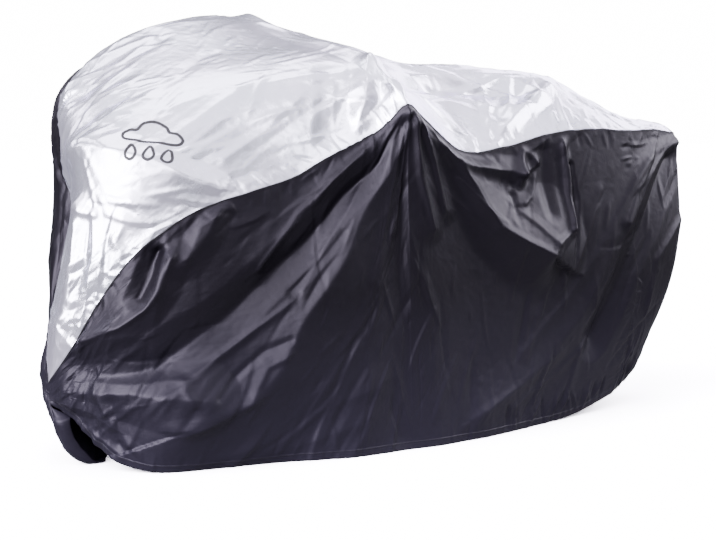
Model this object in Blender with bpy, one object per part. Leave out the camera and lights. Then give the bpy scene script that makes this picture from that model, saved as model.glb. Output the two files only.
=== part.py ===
"""Fitted rain cover for a bicycle, as it hangs over a machine that leans on its side stand.

Four panels of coated cloth: a silver top that runs from the nose over the handlebar and the
saddle to the tail, a black panel down each side, and a black tail panel round the rear wheel.
Metres, +Z up, nose at -X, tail at +X. The side that the bicycle leans to is at -Y.
The cover is hollow: the bicycle that it hangs over is not part of it.
"""

import math

import bpy
import numpy as np

# Driving dimensions, in metres
CLOTH = 0.002             # thickness of the coated cloth with its seam allowance
SEAM_SETBACK = 0.0005     # each panel stops this far short of its seam line
TIP_SETBACK = 3.0         # and the point of the nose this many times as far

# Steps of the mesh
STEPS_PER_SECTION = 3     # rows between two sections
STEPS_ACROSS = 14         # columns over the top, seam to seam
STEPS_DOWN = 20           # rows down the skirt
BULGE_SKEW = 1.08         # above 1 the skirt stands out most below its middle

# Sections of the top, nose to tail. Columns: name, then x, y, z of the near seam, the near
# shoulder, the crown, the far shoulder and the far seam.
SECTIONS = (
    ("nose tip", (-0.952, -0.058, 0.205), (-0.952, -0.058, 0.205), (-0.952, -0.058, 0.205),
     (-0.952, -0.058, 0.205), (-0.952, -0.058, 0.205)),
    ("low nose", (-0.918, -0.135, 0.300), (-0.940, -0.103, 0.302), (-0.945, -0.068, 0.305),
     (-0.940, -0.033, 0.303), (-0.930, 0.002, 0.300)),
    ("wheel front", (-0.870, -0.190, 0.414), (-0.915, -0.139, 0.425), (-0.925, -0.082, 0.432),
     (-0.912, -0.023, 0.430), (-0.889, 0.042, 0.418)),
    ("wheel brow", (-0.797, -0.250, 0.532), (-0.872, -0.183, 0.552), (-0.898, -0.100, 0.565),
     (-0.880, -0.014, 0.555), (-0.846, 0.077, 0.522)),
    ("front crease", (-0.660, -0.288, 0.628), (-0.790, -0.228, 0.690), (-0.870, -0.115, 0.715),
     (-0.857, -0.009, 0.705), (-0.822, 0.099, 0.645)),
    ("lamp", (-0.516, -0.302, 0.672), (-0.685, -0.215, 0.778), (-0.812, -0.085, 0.822),
     (-0.853, 0.039, 0.805), (-0.836, 0.145, 0.745)),
    ("low slope", (-0.386, -0.300, 0.709), (-0.560, -0.190, 0.855), (-0.700, -0.040, 0.915),
     (-0.803, 0.105, 0.905), (-0.831, 0.182, 0.852)),
    ("slope", (-0.286, -0.312, 0.762), (-0.425, -0.185, 0.918), (-0.560, 0.000, 0.985),
     (-0.703, 0.167, 0.997), (-0.788, 0.205, 0.931)),
    ("high slope", (-0.196, -0.330, 0.806), (-0.300, -0.185, 0.962), (-0.420, 0.035, 1.032),
     (-0.560, 0.232, 1.086), (-0.690, 0.262, 1.000)),
    ("bar front", (-0.150, -0.352, 0.842), (-0.190, -0.200, 0.988), (-0.285, 0.045, 1.058),
     (-0.390, 0.266, 1.130), (-0.455, 0.325, 1.060)),
    ("handlebar", (-0.108, -0.380, 0.897), (-0.100, -0.200, 1.006), (-0.168, 0.050, 1.066),
     (-0.208, 0.288, 1.140), (-0.235, 0.362, 1.085)),
    ("bar back", (-0.034, -0.360, 0.845), (-0.015, -0.190, 0.965), (-0.010, 0.070, 1.052),
     (-0.070, 0.250, 1.070), (-0.090, 0.358, 1.000)),
    ("top tube", (0.110, -0.316, 0.766), (0.110, -0.165, 0.915), (0.118, 0.000, 1.006),
     (0.105, 0.165, 0.985), (0.100, 0.335, 0.905)),
    ("mid dip", (0.270, -0.288, 0.776), (0.270, -0.140, 0.918), (0.262, 0.000, 1.003),
     (0.260, 0.150, 0.960), (0.255, 0.312, 0.870)),
    ("saddle nose", (0.435, -0.270, 0.810), (0.435, -0.115, 0.935), (0.430, 0.000, 0.997),
     (0.435, 0.125, 0.955), (0.430, 0.282, 0.862)),
    ("saddle", (0.600, -0.250, 0.823), (0.595, -0.090, 0.938), (0.590, 0.000, 0.979),
     (0.595, 0.100, 0.938), (0.600, 0.252, 0.856)),
    ("tail seam", (0.760, -0.222, 0.818), (0.755, -0.095, 0.890), (0.745, 0.000, 0.922),
     (0.755, 0.100, 0.890), (0.760, 0.225, 0.844)),
    ("carrier", (0.895, -0.180, 0.820), (0.890, -0.080, 0.850), (0.885, 0.000, 0.867),
     (0.890, 0.085, 0.854), (0.895, 0.182, 0.834)),
    ("rear edge", (1.009, -0.140, 0.811), (1.030, -0.070, 0.833), (1.044, 0.000, 0.843),
     (1.032, 0.070, 0.838), (1.012, 0.142, 0.823)),
)
NEAR_SEAM, NEAR_SHOULDER, CROWN, FAR_SHOULDER, FAR_SEAM = range(1, 6)
CORNER_SECTION = 10       # the handlebar, over which the cloth turns sharply
TAIL_SECTION = 16         # where the tail panel is sewn to the sides
REAR_SECTION = 18

# The hem below each section up to the tail seam. Columns: x, y, z of the near hem, how far the
# near skirt stands out, x, y, z of the far hem, how far the far skirt stands out.
HEMS = (
    ((-0.948, -0.062, 0.152), 0.000, (-0.948, -0.062, 0.152), 0.000),
    ((-0.908, -0.112, 0.120), 0.008, (-0.945, -0.085, 0.100), 0.034),
    ((-0.872, -0.163, 0.060), 0.022, (-0.912, -0.078, 0.030), 0.058),
    ((-0.830, -0.214, 0.020), 0.032, (-0.862, -0.078, 0.000), 0.078),
    ((-0.745, -0.270, 0.000), 0.036, (-0.800, -0.035, 0.000), 0.094),
    ((-0.600, -0.294, 0.000), 0.036, (-0.670, 0.120, 0.000), 0.102),
    ((-0.455, -0.325, 0.000), 0.036, (-0.525, 0.222, 0.000), 0.105),
    ((-0.330, -0.360, 0.000), 0.030, (-0.430, 0.262, 0.000), 0.085),
    ((-0.225, -0.378, 0.000), 0.020, (-0.335, 0.286, 0.000), 0.062),
    ((-0.150, -0.380, 0.000), 0.012, (-0.235, 0.303, 0.000), 0.040),
    ((-0.075, -0.374, 0.000), 0.004, (-0.135, 0.316, 0.000), 0.024),
    ((0.000, -0.362, 0.000), 0.004, (-0.025, 0.323, 0.000), 0.018),
    ((0.120, -0.338, 0.000), 0.012, (0.110, 0.318, 0.000), 0.020),
    ((0.265, -0.304, 0.000), 0.024, (0.262, 0.292, 0.000), 0.028),
    ((0.420, -0.252, 0.000), 0.040, (0.420, 0.256, 0.000), 0.040),
    ((0.590, -0.204, 0.010), 0.056, (0.590, 0.210, 0.010), 0.054),
    ((0.748, -0.168, 0.046), 0.066, (0.748, 0.172, 0.046), 0.064),
)
# The hem round the tail, from the near tail seam to the far one, and how far the tail stands out
TAIL_HEMS = (
    ((0.748, -0.168, 0.046), 0.066),
    ((0.832, -0.124, 0.074), 0.083),
    ((0.884, 0.000, 0.082), 0.092),
    ((0.832, 0.128, 0.074), 0.083),
    ((0.748, 0.172, 0.046), 0.064),
)
# Folds of the skirt. Columns: name, path as (distance round the skirt from the front join, height),
# rise at the start and at the end of the path, width of a flank at the start and at the end,
# skew (above 0 the flank on the left of the path is wider). A rise below 0 is a hollow.
SKIRT_FOLDS = (
    ("grip to wheel crest", ((0.963, 0.890), (0.868, 0.700), (0.794, 0.572), (0.713, 0.446),
                             (0.645, 0.355), (0.581, 0.239), (0.510, 0.159), (0.362, 0.102)),
     0.012, 0.044, 0.035, 0.165, 0.32),
    ("grip to wheel hollow", ((0.953, 0.880), (0.868, 0.748), (0.722, 0.613), (0.581, 0.501),
                              (0.462, 0.401), (0.374, 0.334), (0.286, 0.263), (0.125, 0.226)),
     -0.016, -0.030, 0.030, 0.085, 0.00),
    ("long pleat", ((0.947, 0.883), (0.868, 0.823), (0.750, 0.719), (0.624, 0.618), (0.510, 0.494)),
     0.012, 0.012, 0.022, 0.045, 0.10),
    ("second pleat", ((0.953, 0.873), (0.868, 0.782), (0.722, 0.644), (0.603, 0.547)),
     0.009, 0.007, 0.018, 0.035, 0.10),
    ("wheel bulge", ((0.071, 0.191), (0.221, 0.201), (0.386, 0.173)),
     0.020, 0.030, 0.055, 0.090, 0.00),
    ("seam crescent", ((0.286, 0.526), (0.266, 0.445), (0.238, 0.395), (0.191, 0.354), (0.098, 0.315)),
     0.020, 0.014, 0.038, 0.040, 0.20),
    ("seam slot", ((0.256, 0.538), (0.238, 0.481), (0.221, 0.423)),
     -0.016, -0.012, 0.026, 0.030, 0.00),
    ("seam pleat", ((0.386, 0.650), (0.362, 0.584), (0.317, 0.518)),
     0.018, 0.010, 0.045, 0.050, 0.00),
    ("grip to frame crest", ((0.975, 0.889), (1.023, 0.848), (1.077, 0.790), (1.134, 0.741),
                             (1.181, 0.675), (1.218, 0.616), (1.257, 0.568), (1.336, 0.519),
                             (1.417, 0.484)),
     0.010, 0.058, 0.030, 0.130, 0.45),
    ("grip pleat", ((0.975, 0.881), (0.992, 0.774), (1.039, 0.570)),
     0.013, 0.010, 0.022, 0.040, 0.20),
    ("second grip pleat", ((0.986, 0.881), (1.047, 0.748), (1.088, 0.614)),
     0.013, 0.009, 0.020, 0.035, 0.20),
    ("under the grip", ((0.953, 0.851), (0.937, 0.495), (0.931, 0.029)),
     -0.012, -0.022, 0.035, 0.120, 0.00),
    ("frame dart", ((1.145, 0.742), (1.257, 0.721), (1.363, 0.698)),
     0.010, 0.020, 0.026, 0.034, 0.35),
    ("frame dart fall", ((1.385, 0.780), (1.376, 0.740), (1.363, 0.698)),
     0.006, 0.018, 0.022, 0.034, 0.30),
    ("saddle groove", ((1.472, 0.767), (1.458, 0.597)),
     -0.007, -0.009, 0.030, 0.035, 0.00),
    ("saddle pleat", ((1.529, 0.795), (1.546, 0.687), (1.534, 0.557)),
     0.010, 0.012, 0.024, 0.026, 0.20),
    ("saddle slot", ((1.562, 0.722), (1.575, 0.621), (1.549, 0.449)),
     -0.020, -0.014, 0.016, 0.022, 0.00),
    ("rear corner crest", ((1.966, 0.799), (1.868, 0.729), (1.795, 0.622), (1.687, 0.444),
                           (1.616, 0.330), (1.529, 0.238), (1.376, 0.151), (1.231, 0.070)),
     0.006, 0.014, 0.030, 0.085, 0.10),
    ("rear corner pleat", ((1.981, 0.795), (1.888, 0.697), (1.841, 0.617), (1.781, 0.556)),
     0.004, 0.009, 0.022, 0.035, 0.00),
    ("rear corner hollow", ((1.949, 0.732), (1.835, 0.532), (1.755, 0.369), (1.673, 0.232)),
     -0.014, -0.028, 0.035, 0.070, 0.00),
    ("tail crest", ((1.985, 0.780), (2.087, 0.489), (2.050, 0.231), (1.980, 0.120)),
     0.005, 0.014, 0.040, 0.060, 0.00),
    ("tail hollow", ((2.070, 0.740), (2.180, 0.450), (2.160, 0.200)),
     -0.012, -0.012, 0.050, 0.070, 0.00),
    ("tail middle crest", ((2.190, 0.790), (2.270, 0.450), (2.230, 0.120)),
     0.012, 0.017, 0.045, 0.080, 0.00),
    ("far tail crest", ((2.330, 0.790), (2.420, 0.480), (2.560, 0.120)),
     0.017, 0.014, 0.045, 0.080, 0.00),
    ("far corner crest", ((2.350, 0.780), (2.560, 0.560), (2.760, 0.330), (2.960, 0.080)),
     0.020, 0.020, 0.050, 0.100, 0.00),
    ("far corner hollow", ((2.420, 0.740), (2.640, 0.600), (2.860, 0.420), (3.020, 0.250)),
     -0.014, -0.020, 0.050, 0.080, 0.00),
    ("far grip to frame", ((3.270, 1.030), (3.120, 0.780), (2.960, 0.590)),
     0.020, 0.029, 0.050, 0.110, 0.00),
    ("far grip hollow", ((3.300, 1.020), (3.230, 0.660), (3.180, 0.200)),
     -0.014, -0.023, 0.050, 0.110, 0.00),
    ("far grip fall", ((3.340, 1.040), (3.360, 0.640), (3.340, 0.060)),
     0.020, 0.023, 0.050, 0.110, 0.00),
    ("far wheel hollow", ((3.400, 1.020), (3.520, 0.700), (3.680, 0.400)),
     -0.017, -0.026, 0.050, 0.100, 0.00),
    ("far wheel crest", ((3.440, 1.020), (3.640, 0.700), (3.850, 0.420), (4.020, 0.250)),
     0.017, 0.026, 0.050, 0.100, 0.00),
    ("far seam roll", ((3.560, 0.990), (3.630, 0.962), (3.745, 0.892), (3.860, 0.812), (3.970, 0.710)),
     0.030, 0.010, 0.038, 0.030, 0.00),
    ("far low crest", ((3.560, 0.260), (3.820, 0.130), (4.060, 0.110)),
     0.020, 0.017, 0.090, 0.070, 0.00),
)
# Folds of the top. Columns as above, with the path in x, y, z.
TOP_FOLDS = (
    ("bar ridge", ((-0.208, 0.288, 1.140), (-0.190, 0.110, 1.085), (-0.150, -0.060, 1.040),
                   (-0.115, -0.195, 1.005), (-0.112, -0.280, 0.958), (-0.108, -0.370, 0.900)),
     0.003, 0.017, 0.050, 0.040, 0.00),
    ("far grip to saddle", ((-0.200, 0.280, 1.135), (-0.030, 0.130, 1.073), (0.118, 0.000, 1.005),
                            (0.350, 0.000, 1.001)), 0.004, 0.003, 0.060, 0.060, 0.00),
    ("behind the bar", ((-0.080, -0.260, 0.960), (0.060, -0.160, 0.950), (0.200, -0.115, 0.942),
                        (0.435, -0.120, 0.930)), -0.017, -0.023, 0.050, 0.070, 0.00),
    ("brow crest", ((-0.867, -0.052, 0.772), (-0.820, -0.147, 0.766), (-0.705, -0.248, 0.720),
                    (-0.600, -0.285, 0.680)), 0.023, 0.014, 0.090, 0.050, 0.00),
    ("nose crest", ((-0.893, -0.120, 0.640), (-0.931, -0.115, 0.416), (-0.950, -0.090, 0.300)),
     0.017, 0.009, 0.040, 0.030, 0.00),
    ("near bar pleat", ((-0.127, -0.211, 0.996), (-0.213, -0.314, 0.819)),
     0.014, 0.020, 0.040, 0.050, 0.00),
    ("near bar hollow", ((-0.230, -0.200, 0.965), (-0.275, -0.303, 0.790)),
     -0.009, -0.014, 0.050, 0.055, 0.00),
    ("far brow hollow", ((-0.790, 0.110, 0.925), (-0.550, 0.187, 1.071)),
     -0.014, -0.009, 0.050, 0.060, 0.00),
    ("saddle", ((0.560, 0.000, 0.985), (0.650, 0.000, 0.965)), 0.004, 0.008, 0.090, 0.100, 0.00),
    ("saddle to seam", ((0.600, -0.070, 0.955), (0.300, -0.235, 0.825)),
     0.014, 0.012, 0.050, 0.050, 0.00),
    ("far saddle to seam", ((0.560, 0.080, 0.950), (0.240, 0.260, 0.900)),
     0.014, 0.012, 0.050, 0.050, 0.00),
    ("saddle to carrier", ((0.664, -0.105, 0.905), (0.871, -0.139, 0.837)),
     -0.014, -0.009, 0.040, 0.040, 0.00),
)
SEAM_CALM = 0.05          # folds fade out over this share of the skirt's drop next to the seam
EDGE_CALM = 0.35          # and over this many columns of the top next to a seam
JOIN_CALM = 0.05          # and over this distance next to the front join
CREST_ROUND = 0.06        # roundness of a fold's crest, as a share of its flank
FLANK_POWER = 1.15        # above 1 a fold's flanks are hollow

# Finish of each panel: colour and roughness
SHEETS = {
    "silver_top": ("#c9cad0", 0.42),
    "side_near": ("#26242c", 0.48),
    "side_far": ("#25232b", 0.48),
    "tail": ("#27252d", 0.48),
}


def spline(rows, at, corners=()):
    """Smooth curve through rows 0, 1, 2... read at fractional row numbers, bent at the corners."""
    rows = np.asarray(rows, float)
    at = np.asarray(at, float)
    first = np.clip(np.floor(at).astype(int), 0, len(rows) - 2)
    part = (at - first)[:, None]
    leaving = np.gradient(rows, axis=0)
    arriving = leaving.copy()
    for corner in corners:
        leaving[corner] = rows[corner + 1] - rows[corner]
        arriving[corner] = rows[corner] - rows[corner - 1]
    cube, square = part ** 3, part ** 2
    return ((2 * cube - 3 * square + 1) * rows[first] + (cube - 2 * square + part) * leaving[first]
            + (3 * square - 2 * cube) * rows[first + 1] + (cube - square) * arriving[first + 1])


def section_line(column, at):
    """One of the five lengthwise lines of the top, at fractional section numbers."""
    return spline([row[column] for row in SECTIONS], at, (CORNER_SECTION,))


def top_surface(at, steps_across):
    """Grid of the silver top: a row per section number in at, near seam to far seam."""
    lines = [section_line(column, at) for column in range(NEAR_SEAM, FAR_SEAM + 1)]
    across = np.linspace(0, 4, steps_across + 1)
    return np.stack([spline(section, across) for section in np.stack(lines, 1)])


def skirt_ring(top, side_steps):
    """Seam, hem and stand-out of the skirt, column by column round the whole cover.

    The ring starts at the front join under the nose, follows the near side to the tail, turns
    round the tail and comes back along the far side to the front join.
    """
    side_at = np.linspace(0, TAIL_SECTION, side_steps + 1)
    tail_steps = len(top) - 1 - side_steps
    across_steps = top.shape[1] - 1
    near_hem = spline([row[0] + (row[1],) for row in HEMS], side_at)
    far_hem = spline([row[2] + (row[3],) for row in HEMS], side_at)
    tail_at = np.concatenate([np.linspace(0, 1, tail_steps + 1)[1:],
                              np.linspace(1, 3, across_steps + 1)[1:],
                              np.linspace(3, 4, tail_steps + 1)[1:-1]])
    tail_hem = spline([row[0] + (row[1],) for row in TAIL_HEMS], tail_at)
    seam = np.concatenate([top[:, 0], top[-1, 1:], top[-2::-1, -1]])
    hem = np.concatenate([near_hem, tail_hem, far_hem[::-1]])
    hem[:, 2] = np.maximum(hem[:, 2], 0)
    return seam, hem[:, :3], hem[:, 3]


def outward(seam, hem):
    """Level direction that faces out of the skirt at each column of the ring."""
    plan = (0.35 * seam + 0.65 * hem)[:, :2]
    run = np.gradient(plan, axis=0)
    for _ in range(3):
        run[1:-1] = (run[:-2] + 2 * run[1:-1] + run[2:]) / 4
    facing = np.stack([run[:, 1], -run[:, 0], np.zeros(len(run))], 1)
    return facing / np.linalg.norm(facing, axis=1)[:, None]


def skirt_surface(seam, hem, stand_out, steps_down):
    """Grid of the skirt: a column per place on the ring, seam to hem."""
    down = np.linspace(0, 1, steps_down + 1)[None, :, None]
    facing = outward(seam, hem)[:, None, :]
    swell = np.sin(math.pi * down ** BULGE_SKEW) * stand_out[:, None, None]
    return seam[:, None, :] + (hem - seam)[:, None, :] * down + facing * swell


def girth(seam, hem):
    """Distance round the ring from the front join to each column."""
    plan = (0.35 * seam + 0.65 * hem)[:, :2]
    return np.concatenate([[0], np.cumsum(np.linalg.norm(np.diff(plan, axis=0), axis=1))])


def along_path(points, path):
    """Distance from points to a path, place along it from 0 to 1, and side of it in plan."""
    path = np.asarray(path, float)
    lengths = np.linalg.norm(np.diff(path, axis=0), axis=1)
    starts = np.concatenate([[0], np.cumsum(lengths)]) / lengths.sum()
    nearest = np.full(points.shape[:-1], np.inf)
    place = np.zeros_like(nearest)
    side = np.zeros_like(nearest)
    for start, end, length, begun in zip(path[:-1], path[1:], lengths, starts):
        run = end - start
        share = np.clip((points - start) @ run / length ** 2, 0, 1)
        away = points - start - share[..., None] * run
        distance = np.linalg.norm(away, axis=-1)
        closer = distance < nearest
        nearest = np.where(closer, distance, nearest)
        place = np.where(closer, begun + share * length / lengths.sum(), place)
        side = np.where(closer, np.sign(run[0] * away[..., 1] - run[1] * away[..., 0]), side)
    return nearest, place, side


def fold_lift(points, folds):
    """How far the folds lift each point off the smooth surface."""
    lift = np.zeros(points.shape[:-1])
    for _, path, rise_start, rise_end, wide_start, wide_end, skew in folds:
        distance, place, side = along_path(points, path)
        width = (wide_start + (wide_end - wide_start) * place) * (1 + skew * side)
        rise = rise_start + (rise_end - rise_start) * place
        slope = np.sqrt((distance / width) ** 2 + CREST_ROUND ** 2) - CREST_ROUND
        lift += rise * np.clip(1 - slope, 0, 1) ** FLANK_POWER
    return lift


def ease(share):
    """Smooth step from 0 to 1."""
    share = np.clip(share, 0, 1)
    return share * share * (3 - 2 * share)


def normals(grid):
    """Unit normals of the top's grid, facing up and out."""
    facing = np.cross(np.gradient(grid, axis=0), np.gradient(grid, axis=1))
    length = np.linalg.norm(facing, axis=-1)
    facing[0] = facing[1]
    length[0] = length[1]
    return facing / length[..., None]


def folded_top(rows, steps_across):
    """The silver top with its folds."""
    smooth = top_surface(np.linspace(0, REAR_SECTION, rows + 1), steps_across)
    across = np.linspace(0, 4, steps_across + 1)
    calm = ease(np.minimum(across, 4 - across) / EDGE_CALM)[None, :]
    ahead = np.linspace(0, REAR_SECTION, rows + 1)
    calm = calm * ease(ahead)[:, None] * ease(REAR_SECTION - ahead)[:, None]
    lift = fold_lift(smooth, TOP_FOLDS) * calm
    return smooth + normals(smooth) * lift[..., None]


def folded_skirt(top, side_steps, steps_down):
    """The skirt with its folds, hung from the edge of the top."""
    seam, hem, stand_out = skirt_ring(top, side_steps)
    smooth = skirt_surface(seam, hem, stand_out, steps_down)
    around = girth(seam, hem)
    unrolled = np.stack(np.broadcast_arrays(around[:, None], smooth[..., 2]), -1)
    calm = ease(np.linspace(0, 1, steps_down + 1) / SEAM_CALM)[None, :]
    join = ease(np.minimum(around, around[-1] - around) / JOIN_CALM)[:, None]
    lift = fold_lift(unrolled, SKIRT_FOLDS) * calm * join
    return smooth + outward(seam, hem)[:, None, :] * lift[..., None]


class Sheet:
    """One panel of cloth as a grid of outer points, with the names of its sewn edges."""

    EDGES = {"first row": (np.s_[0], np.s_[1]), "last row": (np.s_[-1], np.s_[-2]),
             "first column": (np.s_[:, 0], np.s_[:, 1]), "last column": (np.s_[:, -1], np.s_[:, -2])}

    def __init__(self, name, grid, sewn, pointed=False):
        self.name = name
        self.grid = grid
        self.sewn = sewn
        self.pointed = pointed      # the whole first row is one point
        self.points = self.flat(grid)
        self.faces = self.triangles()

    def flat(self, grid):
        """Points in the order that the faces count them."""
        points = grid.reshape(-1, 3)
        return points[self.grid.shape[1] - 1:] if self.pointed else points

    def triangles(self):
        """Faces of the grid, which face outward; each cell is split along its shorter diagonal."""
        rows, columns = self.grid.shape[:2]
        number = np.arange(rows * columns).reshape(rows, columns)
        if self.pointed:
            number = np.maximum(number - columns + 1, 0)
        rising = np.linalg.norm(self.grid[1:, 1:] - self.grid[:-1, :-1], axis=-1)
        falling = np.linalg.norm(self.grid[1:, :-1] - self.grid[:-1, 1:], axis=-1)
        faces = []
        for row in range(rows - 1):
            for column in range(columns - 1):
                start, below = int(number[row, column]), int(number[row + 1, column])
                right, across = int(number[row, column + 1]), int(number[row + 1, column + 1])
                if rising[row, column] <= falling[row, column]:
                    pair = [(start, below, across), (start, across, right)]
                else:
                    pair = [(start, below, right), (below, across, right)]
                faces += [list(face) for face in pair if len(set(face)) == 3]
        return faces

    def setback(self):
        """Shift that moves each sewn edge off its seam line, into the panel."""
        shift = np.zeros_like(self.grid)
        for name in self.sewn:
            edge, inner = self.EDGES[name]
            inward = self.grid[inner] - self.grid[edge]
            length = np.maximum(np.linalg.norm(inward, axis=-1), 1e-9)[..., None]
            shift[edge] += inward / length * SEAM_SETBACK
        if self.pointed:
            middle = self.grid.shape[1] // 2
            inward = self.grid[1, middle] - self.grid[0, middle]
            shift[0] = inward / np.linalg.norm(inward) * SEAM_SETBACK * TIP_SETBACK
        return self.flat(shift)


def welded_normals(sheets):
    """Outward direction at each point, shared by the panels that meet there."""
    total = {}
    keys = []
    for sheet in sheets:
        sheet_keys = [tuple(key) for key in np.round(sheet.points * 1e6).astype(int)]
        for face in sheet.faces:
            corners = sheet.points[face] - sheet.points[face[0]]
            facing = np.cross(corners, np.roll(corners, -1, axis=0)).sum(axis=0)
            facing = facing / np.linalg.norm(facing)
            for point in face:
                total[sheet_keys[point]] = total.get(sheet_keys[point], 0) + facing
        keys.append(sheet_keys)
    return [np.array([total[key] / np.linalg.norm(total[key]) for key in sheet_keys])
            for sheet_keys in keys]


def closed_mesh(sheet, facing):
    """Mesh of the panel with its thickness inward and a rim round its edge."""
    shift = sheet.setback()
    outer = sheet.points + shift
    inner = sheet.points - facing * CLOTH + shift
    count = len(outer)
    edges = {}
    for face in sheet.faces:
        for start, end in zip(face, face[1:] + face[:1]):
            edges[(start, end)] = True
    faces = list(sheet.faces)
    faces += [[point + count for point in reversed(face)] for face in sheet.faces]
    faces += [[end, start, start + count, end + count] for start, end in edges
              if (end, start) not in edges]
    mesh = bpy.data.meshes.new(sheet.name)
    mesh.from_pydata(np.concatenate([outer, inner]).tolist(), [], faces)
    mesh.update()
    mesh.shade_smooth()
    return mesh


def cloth_material(name, colour, roughness):
    """Coated polyester in one colour, given as an sRGB hex value."""
    material = bpy.data.materials.new(name)
    material.use_nodes = True
    shader = material.node_tree.nodes["Principled BSDF"]
    channels = [int(colour[place:place + 2], 16) / 255 for place in (1, 3, 5)]
    linear = [c / 12.92 if c <= 0.04045 else ((c + 0.055) / 1.055) ** 2.4 for c in channels]
    shader.inputs["Base Color"].default_value = (*linear, 1)
    shader.inputs["Roughness"].default_value = roughness
    shader.inputs["Metallic"].default_value = 0.0
    return material


def plan_middle(top, skirt):
    """Point on the floor under the middle of the cover, which becomes the part's origin."""
    points = np.concatenate([top.reshape(-1, 3), skirt.reshape(-1, 3)])
    middle = (points.min(axis=0) + points.max(axis=0)) / 2
    return np.array([middle[0], middle[1], points[:, 2].min()])


def panels():
    """The four panels, in the part's own frame."""
    side_steps = TAIL_SECTION * STEPS_PER_SECTION
    tail_steps = 2 * (REAR_SECTION - TAIL_SECTION) * STEPS_PER_SECTION + STEPS_ACROSS
    tail_end = side_steps + tail_steps
    top = folded_top(REAR_SECTION * STEPS_PER_SECTION, STEPS_ACROSS)
    skirt = folded_skirt(top, side_steps, STEPS_DOWN).transpose(1, 0, 2)
    middle = plan_middle(top, skirt)
    top = top - middle
    skirt = skirt - middle
    skirt_sewn = ("first row", "first column", "last column")
    return [
        Sheet("silver_top", top, ("last row", "first column", "last column"), pointed=True),
        Sheet("side_near", skirt[:, :side_steps + 1], skirt_sewn),
        Sheet("tail", skirt[:, side_steps:tail_end + 1], skirt_sewn),
        Sheet("side_far", skirt[:, tail_end:], skirt_sewn),
    ]


def main():
    for thing in list(bpy.data.objects):
        bpy.data.objects.remove(thing, do_unlink=True)
    sheets = panels()
    for sheet, facing in zip(sheets, welded_normals(sheets)):
        cloth = bpy.data.objects.new(sheet.name, closed_mesh(sheet, facing))
        cloth.data.materials.append(cloth_material(sheet.name + "_cloth", *SHEETS[sheet.name]))
        bpy.context.scene.collection.objects.link(cloth)


main()
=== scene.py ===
"""Bicycle rain cover as it hangs: silver coated top, black coated side and tail panels."""
import math

import bpy
import numpy as np
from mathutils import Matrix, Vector, noise


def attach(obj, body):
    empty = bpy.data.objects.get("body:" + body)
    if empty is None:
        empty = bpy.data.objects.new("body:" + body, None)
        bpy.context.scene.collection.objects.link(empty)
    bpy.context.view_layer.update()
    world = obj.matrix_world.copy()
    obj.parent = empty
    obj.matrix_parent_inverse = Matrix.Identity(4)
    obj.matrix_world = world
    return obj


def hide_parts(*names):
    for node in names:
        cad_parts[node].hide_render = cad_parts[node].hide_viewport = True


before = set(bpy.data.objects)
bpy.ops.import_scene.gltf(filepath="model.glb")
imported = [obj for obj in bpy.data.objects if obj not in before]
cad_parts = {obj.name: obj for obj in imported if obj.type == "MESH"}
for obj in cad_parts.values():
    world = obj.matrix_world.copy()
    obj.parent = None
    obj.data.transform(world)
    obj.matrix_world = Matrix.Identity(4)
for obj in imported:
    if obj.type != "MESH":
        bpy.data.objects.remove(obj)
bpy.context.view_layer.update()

# ---------------------------------------------------------------- shape of the hanging cover

MIDDLE = np.array([0.05427999, -0.00028146, 0.0])     # the part's origin in the bicycle's frame
FINE_STEPS = (28, 176, 200)       # cells per section, across the top, down the skirt
SPANS = 4                 # spans of the top between its five lengthwise lines
CORNER_SECTION = 10       # the handlebar, over which the cloth turns sharply
TAIL_SECTION = 16         # where the tail panel is sewn to the sides
REAR_SECTION = 18
SEAM_SHARE, HEM_SHARE = 0.35, 0.65        # the skirt's plan, from the plans of its seam and hem
PLAN_ROUNDS = 3           # how often that plan's directions are smoothed
BULGE_SKEW = 1.08         # above 1 the skirt bulges most below half-way


def metres(value):
    """A table with its whole numbers, in millimetres, turned to metres; the rest stays."""
    if isinstance(value, tuple):
        return tuple(metres(item) for item in value)
    return value / 1000 if isinstance(value, int) else value


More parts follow.
